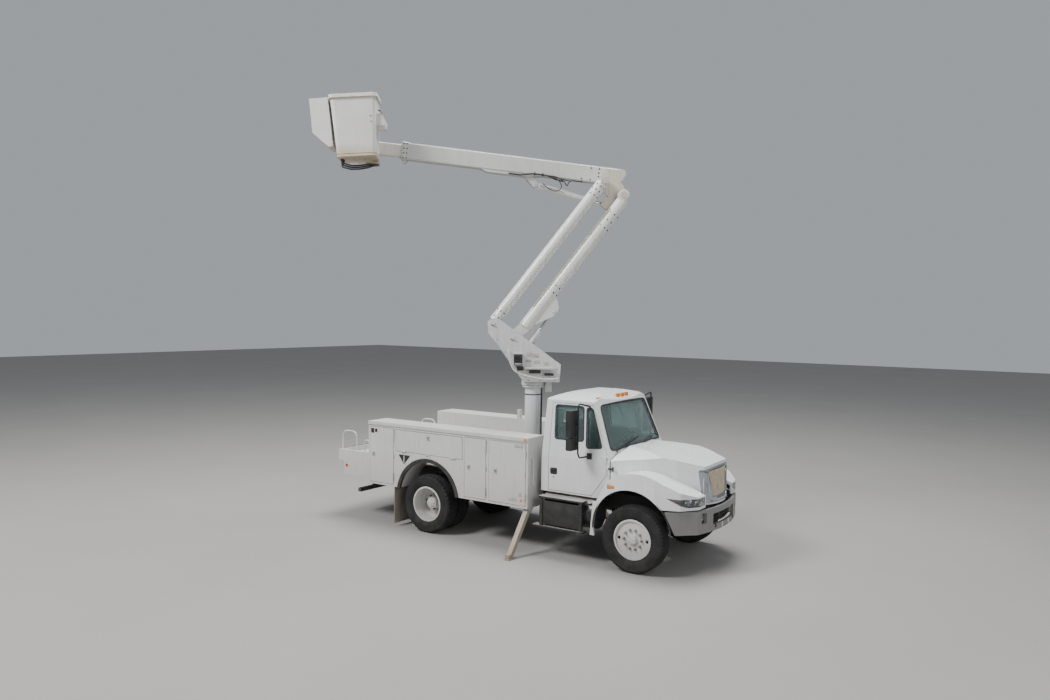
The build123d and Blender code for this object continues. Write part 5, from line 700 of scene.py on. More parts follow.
for name, side in SIDES:
    made(f"fender_marker_{name}", "hood", amber_lens, "lamp_plastic",
         block((-0.34, side * 1.1655, 1.245), (0.115, 0.022, 0.05), soft=0.01))
    made(f"fender_marker_base_{name}", "hood", black_plastic, "black_plastic",
         block((-0.34, side * 1.159, 1.245), (0.135, 0.014, 0.066), soft=0.006))
    made(f"hood_latch_{name}", "hood", seal_rubber, "trim_rubber",
         block((-0.425, side * 1.0, 1.475), (0.075, 0.03, 0.026), soft=0.01),
         block((-0.395, side * 1.004, 1.475), (0.02, 0.034, 0.07), soft=0.008),
         bar([(-0.45, side * 1.0, 1.475), (-0.475, side * 1.006, 1.475)], 0.012))
    angle = np.linspace(-0.12, math.pi * 1.02, 36)
    arch_x, arch_z = ARCH_X + ARCH_R * np.cos(angle), ARCH_Z + ARCH_R * np.sin(angle)
    edge_y = np.interp(arch_x, (-0.66, -0.445, -0.1, 0.35, 0.7), (1.142, 1.158, 1.178, 1.153, 1.03)) - 0.006
    made(f"arch_lip_{name}", "hood", seal_rubber, "trim_rubber",
         carried(strip_profile(0.011, 0.006), np.stack([arch_x, side * edge_y, arch_z], -1)[arch_z > 0.56],
                 up=(0, 1, 0)))

# Headlamps: a clear moulded lens over a black housing in each front corner of the hood.
# Behind it are two bright pressed bowls with their bulbs, and an amber turn lamp.
clear = Finish("clear_lens")
clear_lens = clear.surface((0.86, 0.88, 0.88), 0.05 + clear.noise(9.0, 3.0) * 0.05, None, round_edges=0.0,
                           fixed={"Transmission Weight": 0.95, "IOR": 1.4})
dress(clear_lens, "headlamps")
sheet = np.array([(0.50, 1.00, 1.175), (0.66, 0.90, 1.170), (0.83, 0.66, 1.16), (0.86, 0.58, 1.155),
                  (0.55, 0.985, 1.11), (0.69, 0.89, 1.11), (0.84, 0.66, 1.10), (0.87, 0.58, 1.10),
                  (0.74, 0.90, 1.043), (0.77, 0.84, 1.043), (0.86, 0.66, 1.043), (0.88, 0.58, 1.043)])
sheet -= (0.062, 0.03, 0)
both_walls = np.concatenate([sheet, sheet - (0.012, 0.006, 0)])
bowl = [(0.012, -0.042), (0.035, -0.03), (0.05, -0.01), (0.055, 0.004), (0.057, 0.004), (0.057, -0.012),
        (0.038, -0.036), (0.012, -0.05)]
bulb = [(0, -0.04), (0.009, -0.04), (0.009, -0.012), (0.006, -0.006), (0, -0.005)]
for name, side in SIDES:
    made(f"lamp_housing_{name}", "hood", black_plastic, "black_plastic",
         (both_walls * (1, side, 1), [grid_faces(3, 4), grid_faces(3, 4)[:, ::-1] + len(sheet)]))
    aims = (((0.818, side * 0.675, 1.1), (0.86, side * 0.5, 0)),
            ((0.725, side * 0.825, 1.108), (0.74, side * 0.67, 0)))
    made(f"lamp_bowls_{name}", "hood", bright_chrome, "bright_chrome",
         *[turned(bowl, at, aim, 32, True) for at, aim in aims],
         *[turned(bulb, at, aim, 16) for at, aim in aims])
    turned_out = ((0.62, -side * 0.78, 0), (side * 0.78, 0.62, 0), (0, 0, 1))
    made(f"turn_lamp_{name}", "hood", amber_lens, "lamp_plastic",
         block((0.585, side * 0.935, 1.14), (0.1, 0.018, 0.05), turned_out, 0.007))

# Grille: a bright deep surround, and a woven tan insect mesh stretched over its upright bars.
# The surround is laid on the hood's own face, found by probing it from ahead.
dress(bright_chrome, "grille")
tan_wire = mottled("insect_mesh", 16.0, 5.0, ((0.5, 0.42, 0.3), (0.68, 0.59, 0.45)), 0.7, span=(0.35, 0.7))
probe = mathutils.bvhtree.BVHTree.FromObject(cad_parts["hood"], bpy.context.evaluated_depsgraph_get())


def nose_x(y, z):
    """How far forward the hood's face is at (y, z): the first hit of a line run back along x."""
    hit = probe.ray_cast((ORIGIN[0] + 2.0, ORIGIN[1] + y, z), (-1, 0, 0), 3.0)[0]
    return hit[0] - ORIGIN[0] if hit is not None else np.nan


outside = rounded([(-0.46, 1.034), (0.46, 1.034), (0.50, 1.53), (-0.50, 1.53)], 0.05)
inside = rounded([(-0.322, 1.062), (0.322, 1.062), (0.378, 1.498), (-0.378, 1.498)], 0.04)
outside, inside = dense(outside, 0.06), dense(inside, 0.06)
count = min(len(outside), len(inside))
outside = outside[np.linspace(0, len(outside), count, endpoint=False).astype(int)]
inside = inside[np.linspace(0, len(inside), count, endpoint=False).astype(int)]
band = []
for share, raise_by in ((1.0, 0.001), (0.96, 0.009), (0.6, 0.014), (0.2, 0.012), (0.06, 0.006), (0.0, -0.03)):
    ring_yz = inside + (outside - inside) * share
    probe_yz = inside + (outside - inside) * max(share, 0.22)
    face_x = np.array([nose_x(y, z) for y, z in probe_yz])
    band.append(np.column_stack([face_x + raise_by, ring_yz]))
band = np.concatenate(band)
lost = np.isnan(band[:, 0])
band[lost, 0] = np.interp(np.flatnonzero(lost), np.flatnonzero(~lost), band[~lost, 0])
made("grille_surround", "hood", bright_chrome, "bright_chrome", (band, [grid_faces(6, count, True, True)]))
face = np.array([(nose_x(y, z), y, z) for y, z in inside + (outside - inside) * 0.6])
face = face[~np.isnan(face[:, 0])]
slopes = np.column_stack([np.ones(len(face)), face[:, 2], face[:, 1] ** 2])
nose_fit = np.linalg.lstsq(slopes, face[:, 0], rcond=None)[0]
MESH_BEHIND = 0.004


def thread(y, z):
    """A thread of the mesh just behind the nose: x goes with z and with y squared, fitted to the probes."""
    y, z = np.broadcast_arrays(y, z)
    x = nose_fit[0] + nose_fit[1] * z + nose_fit[2] * y ** 2 - MESH_BEHIND
    return carried(strip_profile(0.002, 0.002), np.stack([x, y, z], -1), up=(1, 0, 0.1))


rows, columns = np.linspace(1.08, 1.485, 46), np.linspace(-0.345, 0.345, 70)
made("insect_mesh", "hood", tan_wire, "bright_chrome",
     *[thread(columns[::6], z) for z in rows], *[thread(y, rows[::5]) for y in columns])

# Front bumper: a bowed steel channel in grey paint across the ends of the frame's rails.
# It holds a black slatted screen, two fog lamps, two tow hooks and a blank number plate.
bumper_grey = worn_paint("bumper_grey", (0.2, 0.2, 0.195), (0.22, 0.19, 0.16), (0.16, 0.08, 0.04), gloss=0.42,
                         dust_top=0.95, dust_low=0.5, dust_most=0.35, chips=0.7, coat=0.1)
dress(bumper_grey, "front_bumper")
slats = [block((0.938 - 0.05 * (y / 0.4) ** 2, y, 0.812), (0.01, 0.006, 0.158), soft=0.002)
         for y in np.linspace(-0.415, 0.415, 30)]
beam_y = np.linspace(-0.425, 0.425, 15)
beam_x = 0.946 - 0.125 * (beam_y / 0.8) ** 2
beams = [carried(strip_profile(0.005, 0.004), np.stack([beam_x, beam_y, np.full(15, z)], -1))
         for z in (0.765, 0.812, 0.86)]
made("bumper_screen", "chassis", black_plastic, "black_plastic", *slats, *beams)
for name, side in SIDES:
    at, aim = (0.882, side * 0.66, 0.86), (0.95, side * 0.3, 0)
    made(f"fog_lamp_{name}", "chassis", bright_chrome, "bright_chrome",
         turned([(0.0, -0.035), (0.03, -0.03), (0.045, -0.01), (0.049, 0.0), (0.052, 0.0), (0.052, -0.02),
                 (0.034, -0.04), (0.0, -0.042)], at, aim))
    made(f"fog_lens_{name}", "chassis", clear_lens, "lamp_clear",
         turned([(0.0, 0.008), (0.03, 0.006), (0.049, 0.0), (0.049, -0.003), (0.03, 0.003), (0.0, 0.005)],
                at, aim))
    hook = [(x, side * 0.36, z) for x, z in ((0.88, 0.668), (0.95, 0.668), (0.98, 0.69), (0.98, 0.725),
                                             (0.95, 0.74))]
    made(f"tow_hook_{name}", "chassis", chassis_black, "frame_black", bar(hook, 0.012, bend=6))
made("number_plate_blank", "chassis", hood_white, "paint_white",
     block((1.0005, 0.0, 0.685), (0.004, 0.3, 0.075), soft=0.0015),
     bolts(0.005, 0.003, [(1.002, -0.12, 0.705), (1.002, 0.12, 0.705)], (1, 0, 0)))

# Side tank and steps: tank, brackets and grey aluminium treads, with painted shade: every face that does not
# look up is near black.
# A punched black guard covers the tank's outer side; the faces that look up show dusty grey metal.
tank = Finish("tank_and_treads")
brush = tank.noise(60.0, 4.0, stretch=(0.04, 1.0, 1.0))
blotch = tank.noise(3.0, 6.0).between(0.4, 0.75)
# Painted shade: faces that do not look up take the near-black tone, and faces that look up take the dusty
# grey metal.
lit_top_share = tank.facing_up().between(0.6, 0.8)
tank_shade_black = tank.mix(blotch, (0.012, 0.012, 0.013), (0.04, 0.036, 0.031))
tank_grey = tank.mix(blotch, (0.36, 0.355, 0.34), (0.2, 0.175, 0.14))
tank_aluminium = tank.surface(tank.mix(lit_top_share, tank_shade_black, tank_grey), 0.34 + blotch * 0.3 + brush * 0.1,
                              brush, 0.0006, 0.003, {"Coat Weight": 0.2})
dress(tank_aluminium, "tanks_and_steps")
HOLES_A_METRE = 42.0
guard = Finish("punched_guard")
grid_x, grid_z = (guard.maths("FRACT", value * HOLES_A_METRE) - 0.5 for value in (guard.x, guard.z))
hole = ((grid_x * grid_x + grid_z * grid_z) < 0.09)
guard_dust = guard.noise(6.0, 5.0).between(0.35, 0.75)
punched = guard.surface(guard.mix(guard_dust, (0.012, 0.012, 0.0125), (0.04, 0.037, 0.033)),
                        0.5 + guard_dust * 0.3, 1.0 - hole, 0.003, 0.0)
for name, side in SIDES:
    made(f"step_guard_{name}", "chassis", punched, "bare_aluminium",
         block((-1.205, side * 1.147, 0.7), (0.74, 0.006, 0.37), soft=0.0015),
         bolts(0.007, 0.005, [(x, side * 1.15, z) for x in (-1.54, -1.205, -0.87) for z in (0.535, 0.865)],
               (0, side, 0)))
    made(f"step_treads_{name}", "chassis", tank_aluminium, "bare_aluminium",
         *[block((x, side * y, z), (0.008, 0.115, 0.007), soft=0.002)
           for y, z, rear, front in ((1.075, 0.9335, -1.56, -0.84), (1.1, 0.4775, -1.68, -0.86))
           for x in np.arange(rear, front, 0.03)])

# Service body: folded steel panels in white enamel, streaked with sand; it is greyer than the cab.
# Doors hang on butt hinges and close on quarter-turn latches with a folding T-handle.
body_white = worn_paint("body_white", (0.6, 0.595, 0.575), (0.33, 0.29, 0.24), (0.19, 0.09, 0.045),
                        gloss=0.36, dust_top=1.35, dust_low=0.5, dust_most=0.42, chips=0.75, streaks=0.12,
                        coat=0.15)
label_grey = mottled("faded_label", 20.0, 5.0, ((0.36, 0.34, 0.28), (0.5, 0.48, 0.42)), 0.55, 0.2,
                     (0.4, 0.75))
LATCHES = (("rear", -5.07, 1.255), ("well", -3.816, 1.647), ("middle", -2.943, 1.255),
           ("front", -2.405, 1.255))
dress(body_white, "locker_faces", "locker_tubs",
      *[f"locker_door_{part}_{name}" for part, x, z in LATCHES for name, side in SIDES])
PANEL_FACE, DOOR_FACE, LATCH_FACE = 1.2002, 1.2043, 1.2122


def plate(outline, face, depth, side):
    """A thin plate on a side of the truck: (x, z) points at y = face, drawn out by depth."""
    flat, count = np.asarray(outline, float), len(outline)
    rings = [np.column_stack([flat[:, 0], np.full(count, side * y), flat[:, 1]])
             for y in (face, face + depth)]
    ends = np.arange(count)
    return np.concatenate(rings), [grid_faces(2, count, False, True), np.stack([ends[::-1], ends + count])]


dished = [(0, 0), (0.024, 0), (0.026, 0.002), (0.024, 0.004), (0.018, 0.0045), (0.016, 0.002), (0, 0.002)]
knuckle = [(0, -0.04), (0.0055, -0.038), (0.0055, 0.038), (0, 0.04)]
rivet = turned([(0, -0.001), (0.006, -0.001), (0.005, 0.002), (0, 0.0032)], count=12)
for name, side in SIDES:
    out = (0, side, 0)
    for part, x, z in LATCHES:
        made(f"latch_{part}_{name}", f"locker_{part}_{name}", zinc, "bright_chrome",
             turned(dished, (x, side * LATCH_FACE, z), out, 28),
             block((x, side * (LATCH_FACE + 0.006), z - 0.008), (0.014, 0.006, 0.05), soft=0.002),
             bolts(0.004, 0.003, [(x + dx, side * LATCH_FACE, z + dz) for dx in (-0.024, 0.024)
                                  for dz in (-0.038, 0.038)], out))
    made(f"door_plate_{name}", f"locker_rear_{name}", black_plastic, "black_plastic",
         block((-5.105, side * (DOOR_FACE + 0.0015), 1.665), (0.075, 0.003, 0.085), soft=0.001),
         block((-5.02, side * (DOOR_FACE + 0.0012), 1.672), (0.06, 0.0024, 0.06), soft=0.001))
    made(f"locker_screws_{name}", "chassis", zinc, "polished_rod",
         bolts(0.0055, 0.004, [(x, side * PANEL_FACE, z) for x, z in (
             (-4.48, 0.93), (-4.42, 1.08), (-3.2, 0.82), (-3.12, 1.2), (-5.185, 0.9), (-5.185, 1.5))], out))
    made(f"locker_hinges_{name}", "chassis", zinc, "polished_rod",
         *[turned(knuckle, (x, side * (DOOR_FACE - 0.002), z), count=12)
           for x in (-4.59, -2.585, -1.83) for z in (0.85, 1.25, 1.68)])
    made(f"rail_rivets_{name}", "chassis", body_white, "paint_white",
         copies(rivet, [(x, side * (DOOR_FACE + 0.0156), 1.803) for x in np.arange(-5.15, -1.84, 0.22)], out))
    outline = dense(rounded([(-4.478, 1.294), (-4.224, 1.294), (-4.361, 1.139)], 0.02), 0.03)
    rim = np.insert(outline, 1, side * (PANEL_FACE + 0.0003), axis=1)
    made(f"filler_vent_{name}", "chassis", black_plastic, "black_plastic", piping(rim, 0.005, (0, side, 0.1)),
         plate(((-4.468, 1.288), (-4.374, 1.288), (-4.374, 1.162)), PANEL_FACE, 0.0035, side),
         plate(((-4.352, 1.288), (-4.234, 1.288), (-4.352, 1.152)), PANEL_FACE, 0.0035, side))
    made(f"side_reflectors_{name}", f"locker_front_{name}", amber_lens, "lamp_plastic",
         turned([(0, 0), (0.026, 0), (0.025, 0.003), (0, 0.0036)], (-1.905, side * DOOR_FACE, 0.83), out, 24))
    made(f"blank_labels_{name}", f"locker_front_{name}", label_grey, "castings",
         *[block((x, side * (DOOR_FACE + 0.001), z), (width, 0.002, height), soft=0.0006)
           for x, z, width, height in ((-2.06, 0.835, 0.15, 0.055), (-1.92, 0.925, 0.055, 0.075),
                                       (-1.96, 1.69, 0.16, 0.055))])

# Bed: bare aluminium tread plate, rolled with a pattern of diamond lugs and laid over the frame.
# Boxes that slide on it keep the lugs bright, and dust dulls the plate between them.
LUGS_A_METRE = 17.0
bed = Finish("bed_plate")
one, two = (bed.maths("ABSOLUTE", bed.maths("FRACT", way * LUGS_A_METRE) - 0.5)
            for way in (bed.x + bed.y, bed.x - bed.y))
lug = bed.maths("MAXIMUM", 1.0 - (one * 5.5 + two * 1.6).held(),
                1.0 - (two * 5.5 + one * 1.6).held()).between(0.0, 0.35)
bed_dust = bed.noise(2.2, 7.0).between(0.35, 0.7)
bed_bright = bed.mix(lug, (0.34, 0.34, 0.34), (0.55, 0.55, 0.55))
bed_plate = bed.surface(bed.mix(bed_dust, bed_bright, (0.3, 0.26, 0.21)), 0.4 + bed_dust * 0.35,
                        lug, 0.003, 0.003, {"Metallic": 0.4})
dress(bed_plate, "service_bed")

# Mud guards: black rubber flares round the wheel wells, and flaps hung behind the wheels.
# Three bolts clamp each flap, and dried mud has turned it pale.
flap = Finish("mud_flap")
mud = flap.noise(4.0, 7.0)
behind_well = 1.0 - flap.x.between(-4.56 + float(ORIGIN[0]), -4.54 + float(ORIGIN[0]))
flap_black = flap.mix(mud.between(0.4, 0.75), (0.017, 0.017, 0.018), (0.06, 0.055, 0.05))
flap_rubber = flap.surface(flap.mix(behind_well * (0.55 + mud * 0.4), flap_black, (0.33, 0.29, 0.24)),
                           0.6 + mud * 0.3, mud, 0.002, 0.0)
dress(flap_rubber, "mud_guards")
for name, side in SIDES:
    made(f"flap_clamp_{name}", "chassis", zinc, "polished_rod",
         bolts(0.008, 0.006, [(-4.6755, side * y, 0.86) for y in (0.8, 0.93, 1.06)], (-1, 0, 0)))

# Tail shelf: a folded steel box across the rear in the body's white, with hoops at its ends.
# A ribbed black strip along its rear edge is painted shadow, standing in for the shade on the shelf's floor
# at its rear lip.
dress(body_white, "tail_shelf")
made("shelf_edge_shadow_strip", "chassis", black_plastic, "black_plastic",
     block((-5.986, 0.0, 1.2416), (0.024, 2.2, 0.005), soft=0.002),
     *[block((-5.9725, y, 1.2416), (0.006, 0.05, 0.004), soft=0.0015) for y in np.arange(-1.05, 1.06, 0.1)])

# Marker lamps: ribbed plastic lenses, amber ahead of the bed and red behind it.
# Each is moulded in one piece and screwed on, and sun and dust have faded it.
lamps = Finish("marker_lens")
fluting = lamps.wave(60.0, "DIAGONAL")
fading = lamps.noise(12.0, 5.0).between(0.5, 0.8)
lens_tone = lamps.mix(lamps.x < (-2.6 + float(ORIGIN[0])), (0.8, 0.25, 0.02), (0.5, 0.015, 0.01))
marker_lens = lamps.surface(lamps.mix(fading * 0.35, lens_tone, (0.25, 0.16, 0.1)), 0.16 + fading * 0.3,
                            fluting, 0.0008, 0.002, {"Coat Weight": 0.6, "Subsurface Weight": 0.1})
dress(marker_lens, "marker_lamps")

# Outriggers: steel box legs in pale paint, which slide out of the body on each side.
# The paint wears off at their edges, and dust and rust gather at their feet.
leg_paint = worn_paint("leg_paint", (0.42, 0.38, 0.31), (0.26, 0.2, 0.14), (0.2, 0.085, 0.04), gloss=0.45,
                       dust_top=0.8, dust_low=0.05, dust_most=0.8, chips=1.0, streaks=0.4, coat=0.0)
dress(leg_paint, "outrigger_leg_right", "outrigger_leg_left")

# Pedestal: a rolled steel post in white enamel on a bolted base plate.
# Hoses run up its side, and a ring of bolts holds the slewing ring on its top.
post_white = worn_paint("post_white", (0.68, 0.685, 0.69), (0.3, 0.26, 0.22), (0.2, 0.09, 0.045), gloss=0.34,
                        dust_top=2.2, dust_low=1.0, dust_most=0.3, chips=0.8, streaks=0.22, coat=0.2)
dress(post_white, "pedestal")
TURRET_X = -2.48
TURRET_AT = np.array([TURRET_X, 0.0, 0.0])


def slew_bolts(radius, z):
    """A ring of bolts pointing down round the turret's axis."""
    return bolts(0.011, 0.009, np.insert(ring_profile(radius), 2, z, axis=1) + TURRET_AT, (0, 0, -1))


made("pedestal_bolts", "chassis", zinc, "polished_rod",
     bolts(0.017, 0.014, [(TURRET_X + x, y, 1.1305) for x in (-0.28, 0.28)
                          for y in (-0.39, -0.13, 0.13, 0.39)], (0, 0, 1)),
     slew_bolts(0.168, 2.5245))
hose_black = mottled("hose_rubber", 11.0, 5.0, ((0.017, 0.017, 0.018), (0.075, 0.07, 0.062)), 0.45, 0.35,
                     (0.4, 0.75), 0.0004)
made("post_hoses", "chassis", hose_black, "trim_rubber",
     *[bar([(TURRET_X + 0.152 * math.cos(a), 0.152 * math.sin(a), z) for z in (1.16, 1.6, 2.1, 2.5)], 0.010)
       for a in (0.35, 0.52, 0.69, 2.2)],
     *[turned([(0.1395, -0.009), (0.1435, -0.009), (0.1435, 0.009), (0.1395, 0.009)], (TURRET_X, 0, z),
              count=48, closed=True) for z in (1.5, 2.4)])

# Turret: two grey-white side plates on a bolted slewing ring, with pins held by keeper plates.
# The lower controls are black boxes with levers behind a white guard rail.
turret_white = worn_paint("turret_white", (0.63, 0.635, 0.635), (0.36, 0.31, 0.25), (0.2, 0.09, 0.045),
                          gloss=0.36, dust_top=3.9, dust_low=2.5, dust_most=0.22, chips=0.9, streaks=0.35,
                          coat=0.1)
dress(turret_white, "turret")
SLEW_ANGLE = math.radians(216.3)
OUT = np.array([math.cos(SLEW_ANGLE), math.sin(SLEW_ANGLE), 0.0])
ACROSS = np.array([OUT[1], -OUT[0], 0.0])
UP = np.array([0.0, 0.0, 1.0])


def heading(angle):
    """The direction at an angle in the lift's plane, and the direction square to it, a quarter turn on."""
    c, s = math.cos(math.radians(angle)), math.sin(math.radians(angle))
    return OUT * c + UP * s, UP * c - OUT * s


def lift(u, z, w):
    """A point of the lift: turret axis + u * OUT + z up + w * ACROSS."""
    u, z, w = (np.asarray(v, float)[..., None] for v in (u, z, w))
    return TURRET_AT + u * OUT + z * UP + w * ACROSS


def run(start, angle, distance, aside=0.0):
    """(u, z) at a distance along an angle from a pin and a little to its left."""
    c, s = math.cos(math.radians(angle)), math.sin(math.radians(angle))
    return start[0] + c * distance - s * aside, start[1] + s * distance + c * aside


def slab(u, z, w, size, angle=0.0, soft=0.004):
    """A round-edged block in the lift's plane: size is along, across and up at an angle."""
    along, top = heading(angle)
    return block(lift(u, z, w), size, (along, ACROSS, top), soft)


NEAR = -0.278
stalk, grip = [(0, 0), (0.006, 0), (0.006, 0.05), (0, 0.05)], [(0, 0), (0.011, 0.004), (0.013, 0.014),
                                                               (0.009, 0.023), (0, 0.025)]
made("ring_bolts", "turret", zinc, "polished_rod", slew_bolts(0.185, 2.5595))
made("control_boxes", "turret", black_plastic, "black_plastic",
     slab(0.282, 3.009, NEAR - 0.094, (0.146, 0.012, 0.19)),
     slab(0.2455, 2.864, NEAR - 0.073, (0.11, 0.01, 0.074)),
     slab(-0.005, 2.81, NEAR - 0.063, (0.198, 0.01, 0.058)),
     slab(-0.245, 2.765, NEAR - 0.063, (0.158, 0.01, 0.042)),
     *[turned(outline, lift(u, z, NEAR - off), -ACROSS, count)
       for z in (3.07, 2.99) for u in (0.25, 0.29, 0.33)
       for outline, off, count in ((stalk, 0.1, 10), (grip, 0.148, 14))])
made("control_plates", "turret", label_grey, "castings",
     slab(0.282, 2.94, NEAR - 0.1005, (0.12, 0.003, 0.03), soft=0.001),
     *[slab(u, z, NEAR - 0.0015, (width, 0.003, height), soft=0.001)
       for u, z, width, height in ((0.09, 3.1, 0.09, 0.075), (-0.02, 3.08, 0.11, 0.075),
                                   (0.1, 2.99, 0.1, 0.04), (-0.04, 2.97, 0.1, 0.05),
                                   (-0.2, 2.94, 0.08, 0.06))])
made("control_guard_rail", "turret", turret_white, "paint_white",
     bar([lift(u, z, NEAR - off) for u, z, off in ((0.45, 3.16, 0.005), (0.45, 3.16, 0.17), (0.43, 3.0, 0.19),
                                                   (0.3, 2.80, 0.19), (-0.1, 2.70, 0.19), (-0.38, 2.70, 0.17),
                                                   (-0.38, 2.70, 0.005))], 0.013, bend=6))
KEEPERS = ((0.373, 3.345, 20), (0.707, 3.585, 25))
SIDE_BOLTS = ((-0.36, 2.68), (-0.1, 2.66), (0.1, 2.66), (-0.38, 2.85), (0.63, 3.35))
made("turret_keepers", "turret", zinc, "polished_rod",
     *[slab(u, z, NEAR - 0.011, (0.085, 0.006, 0.028), angle, 0.002) for u, z, angle in KEEPERS],
     bolts(0.009, 0.007, [lift(u + d * 0.028, z + d * 0.011, NEAR - 0.014) for u, z, angle in KEEPERS
                          for d in (-1, 1)], -ACROSS),
     bolts(0.010, 0.008, [lift(u, z, NEAR - 0.0005) for u, z in SIDE_BOLTS], -ACROSS))

# Lower arms: two parallel steel tubes in cream-white enamel that holds rust at its welds.
arm_white = worn_paint("arm_white", (0.72, 0.715, 0.695), (0.4, 0.34, 0.27), (0.22, 0.1, 0.05), gloss=0.3,
                       dust_top=6.5, dust_low=3.0, dust_most=0.1, chips=0.9, streaks=0.25, coat=0.25)
dress(arm_white, "main_arm", "link_arm")
MAIN_PIN, LINK_PIN, ARM_ANGLE, ARM_W, MAIN_ASIDE = (0.373, 3.385), (0.707, 3.622), 127.24, -0.13, 0.066
ARMS = (("main_arm", MAIN_PIN, MAIN_ASIDE, 0.112, (1.02, 1.14, 2.42, 2.56, 2.7)),
        ("link_arm", LINK_PIN, 0.0, 0.098, (0.12, 0.24, 2.76, 2.86, 2.95)))
across_arm = heading(ARM_ANGLE)[1]
for name, pin, aside, radius, distances in ARMS:
    heads = []
    for index, distance in enumerate(distances):
        middle = lift(*run(pin, ARM_ANGLE, distance, aside), ARM_W)
        for turn in np.radians((-60, -15, 30) if index % 2 else (-38, 8, 52)):
            out = across_arm * math.sin(turn) - ACROSS * math.cos(turn)
            heads.append(bolts(0.010, 0.008, middle + out * (radius - 0.001), out))
    made(f"{name}_bolts", name, chassis_black, "frame_black", *heads)
made("arm_pipes", "main_arm", label_grey, "trim_rubber",
     *[bar([lift(*run(MAIN_PIN, ARM_ANGLE, d, MAIN_ASIDE - in_by), ARM_W - off)
            for d in (0.62, 1.2, 1.8, 2.3, 2.75)], 0.009) for in_by, off in ((0.096, 0.07), (0.112, 0.045))],
     *[slab(*run(MAIN_PIN, ARM_ANGLE, d, MAIN_ASIDE - 0.107), ARM_W - 0.059, (0.03, 0.05, 0.03), ARM_ANGLE)
       for d in (0.8, 1.5, 2.2, 2.65)])

# Elbow: the forged links that join the two lower arms to the upper boom, painted tan as shade where they sit
# behind the arms.
# They turn on greased pins, so sand sticks to their paint.
# Painted shade: this tan base colour stands in for the shade on the elbow.
tan_shade_paint = worn_paint("tan_shade_paint", (0.6, 0.55, 0.46), (0.3, 0.24, 0.17), (0.22, 0.1, 0.05), gloss=0.4,
                         dust_top=6.6, dust_low=5.0, dust_most=0.25, chips=0.9, streaks=0.4, coat=0.1)
dress(tan_shade_paint, "elbow")

# Cylinders: steel barrels in off-white paint with hard-chromed rods, pinned at both ends.
# Each barrel has two screwed ports on its side, with a thin pipe between them.
cylinder_paint = worn_paint("cylinder_paint", (0.66, 0.655, 0.64), (0.3, 0.26, 0.2), (0.2, 0.1, 0.05),
                            gloss=0.34, dust_top=6.4, dust_low=2.6, dust_most=0.2, chips=0.8, coat=0.2)
dress(cylinder_paint, "lift_barrel", "boom_barrel")
polished_rod = mottled("polished_rod", 12.0, 5.0, ((0.74, 0.75, 0.76), (0.5, 0.46, 0.4)), 0.12, 0.22,
                       (0.4, 0.8), round_edges=0.002, stretch=(1.0, 1.0, 0.3), fixed={"Metallic": 1.0})
dress(polished_rod, "lift_rod", "boom_rod")
port = [(0, -0.02), (0.013, -0.02), (0.013, 0.008), (0.009, 0.01), (0.009, 0.018), (0, 0.018)]
for name, foot, angle in (("lift", (0.273, 2.958, ARM_W), 123.7), ("boom", (0.016, 6.028, 0.17), 194.86)):
    start, axis = lift(*foot), heading(angle)[0]
    made(f"{name}_ports", f"{name}_barrel", zinc, "polished_rod",
         *[turned(port, start + axis * along - ACROSS * 0.054, -ACROSS, 16) for along in (0.11, 0.5)],
         bar([start + axis * along - ACROSS * off
              for along, off in ((0.11, 0.07), (0.14, 0.082), (0.47, 0.082), (0.5, 0.07))], 0.006))

# Booms: a folded steel outer box, its side painted mid grey as shade below a bright top, and the inner box
# that slides out of it, white above and beige below. Both carry blank, scuffed enamel.
outer = Finish("outer_boom_paint")
cloud, fine = outer.noise(1.5, 6.0), outer.noise(26.0, 7.0)
runs = outer.noise(8.0, 5.0, stretch=(1.2, 1.2, 0.25)).between(0.5, 0.78)
# Painted shade: faces that look sideways or down are mid grey, and faces that look up are bright.
boom_shade_tone = outer.mix(outer.facing_up().between(-0.4, 0.6), (0.47, 0.46, 0.44), (0.74, 0.745, 0.74))
boom_shade_tone = outer.mix(cloud.between(0.35, 0.7) * 0.18, boom_shade_tone, (0.4, 0.38, 0.35))
boom_shade_tone = outer.mix(runs * 0.22, boom_shade_tone, (0.3, 0.25, 0.2))
chip = (outer.edge(0.006) * fine.between(0.55, 0.62) * 0.9).held()
outer_paint = outer.surface(outer.mix(chip, boom_shade_tone, (0.2, 0.1, 0.05)), 0.3 + fine * 0.12 + chip * 0.3,
                            fine, 0.0006, 0.004, {"Coat Weight": 0.25, "Coat Roughness": 0.15})
inner_paint = worn_paint("inner_boom_paint", (0.74, 0.72, 0.67), (0.46, 0.39, 0.29), (0.22, 0.12, 0.06),
                         gloss=0.3, dust_top=7.0, dust_low=6.4, dust_most=0.3, chips=0.6, streaks=0.25,
                         coat=0.3)
dress(outer_paint, "outer_boom")
dress(inner_paint, "inner_boom")
BOOM_PIN, BOOM_ANGLE, BOOM_W, BOOM_LENGTH = (-1.345, 6.177), 5.7, 0.17, 3.657
BOOM_HALF = 0.1


def boom(distance, aside, w):
    """A point of the boom: along it from its pin, aside of its line, and across the lift."""
    return lift(*run(BOOM_PIN, BOOM_ANGLE, distance, aside), w)


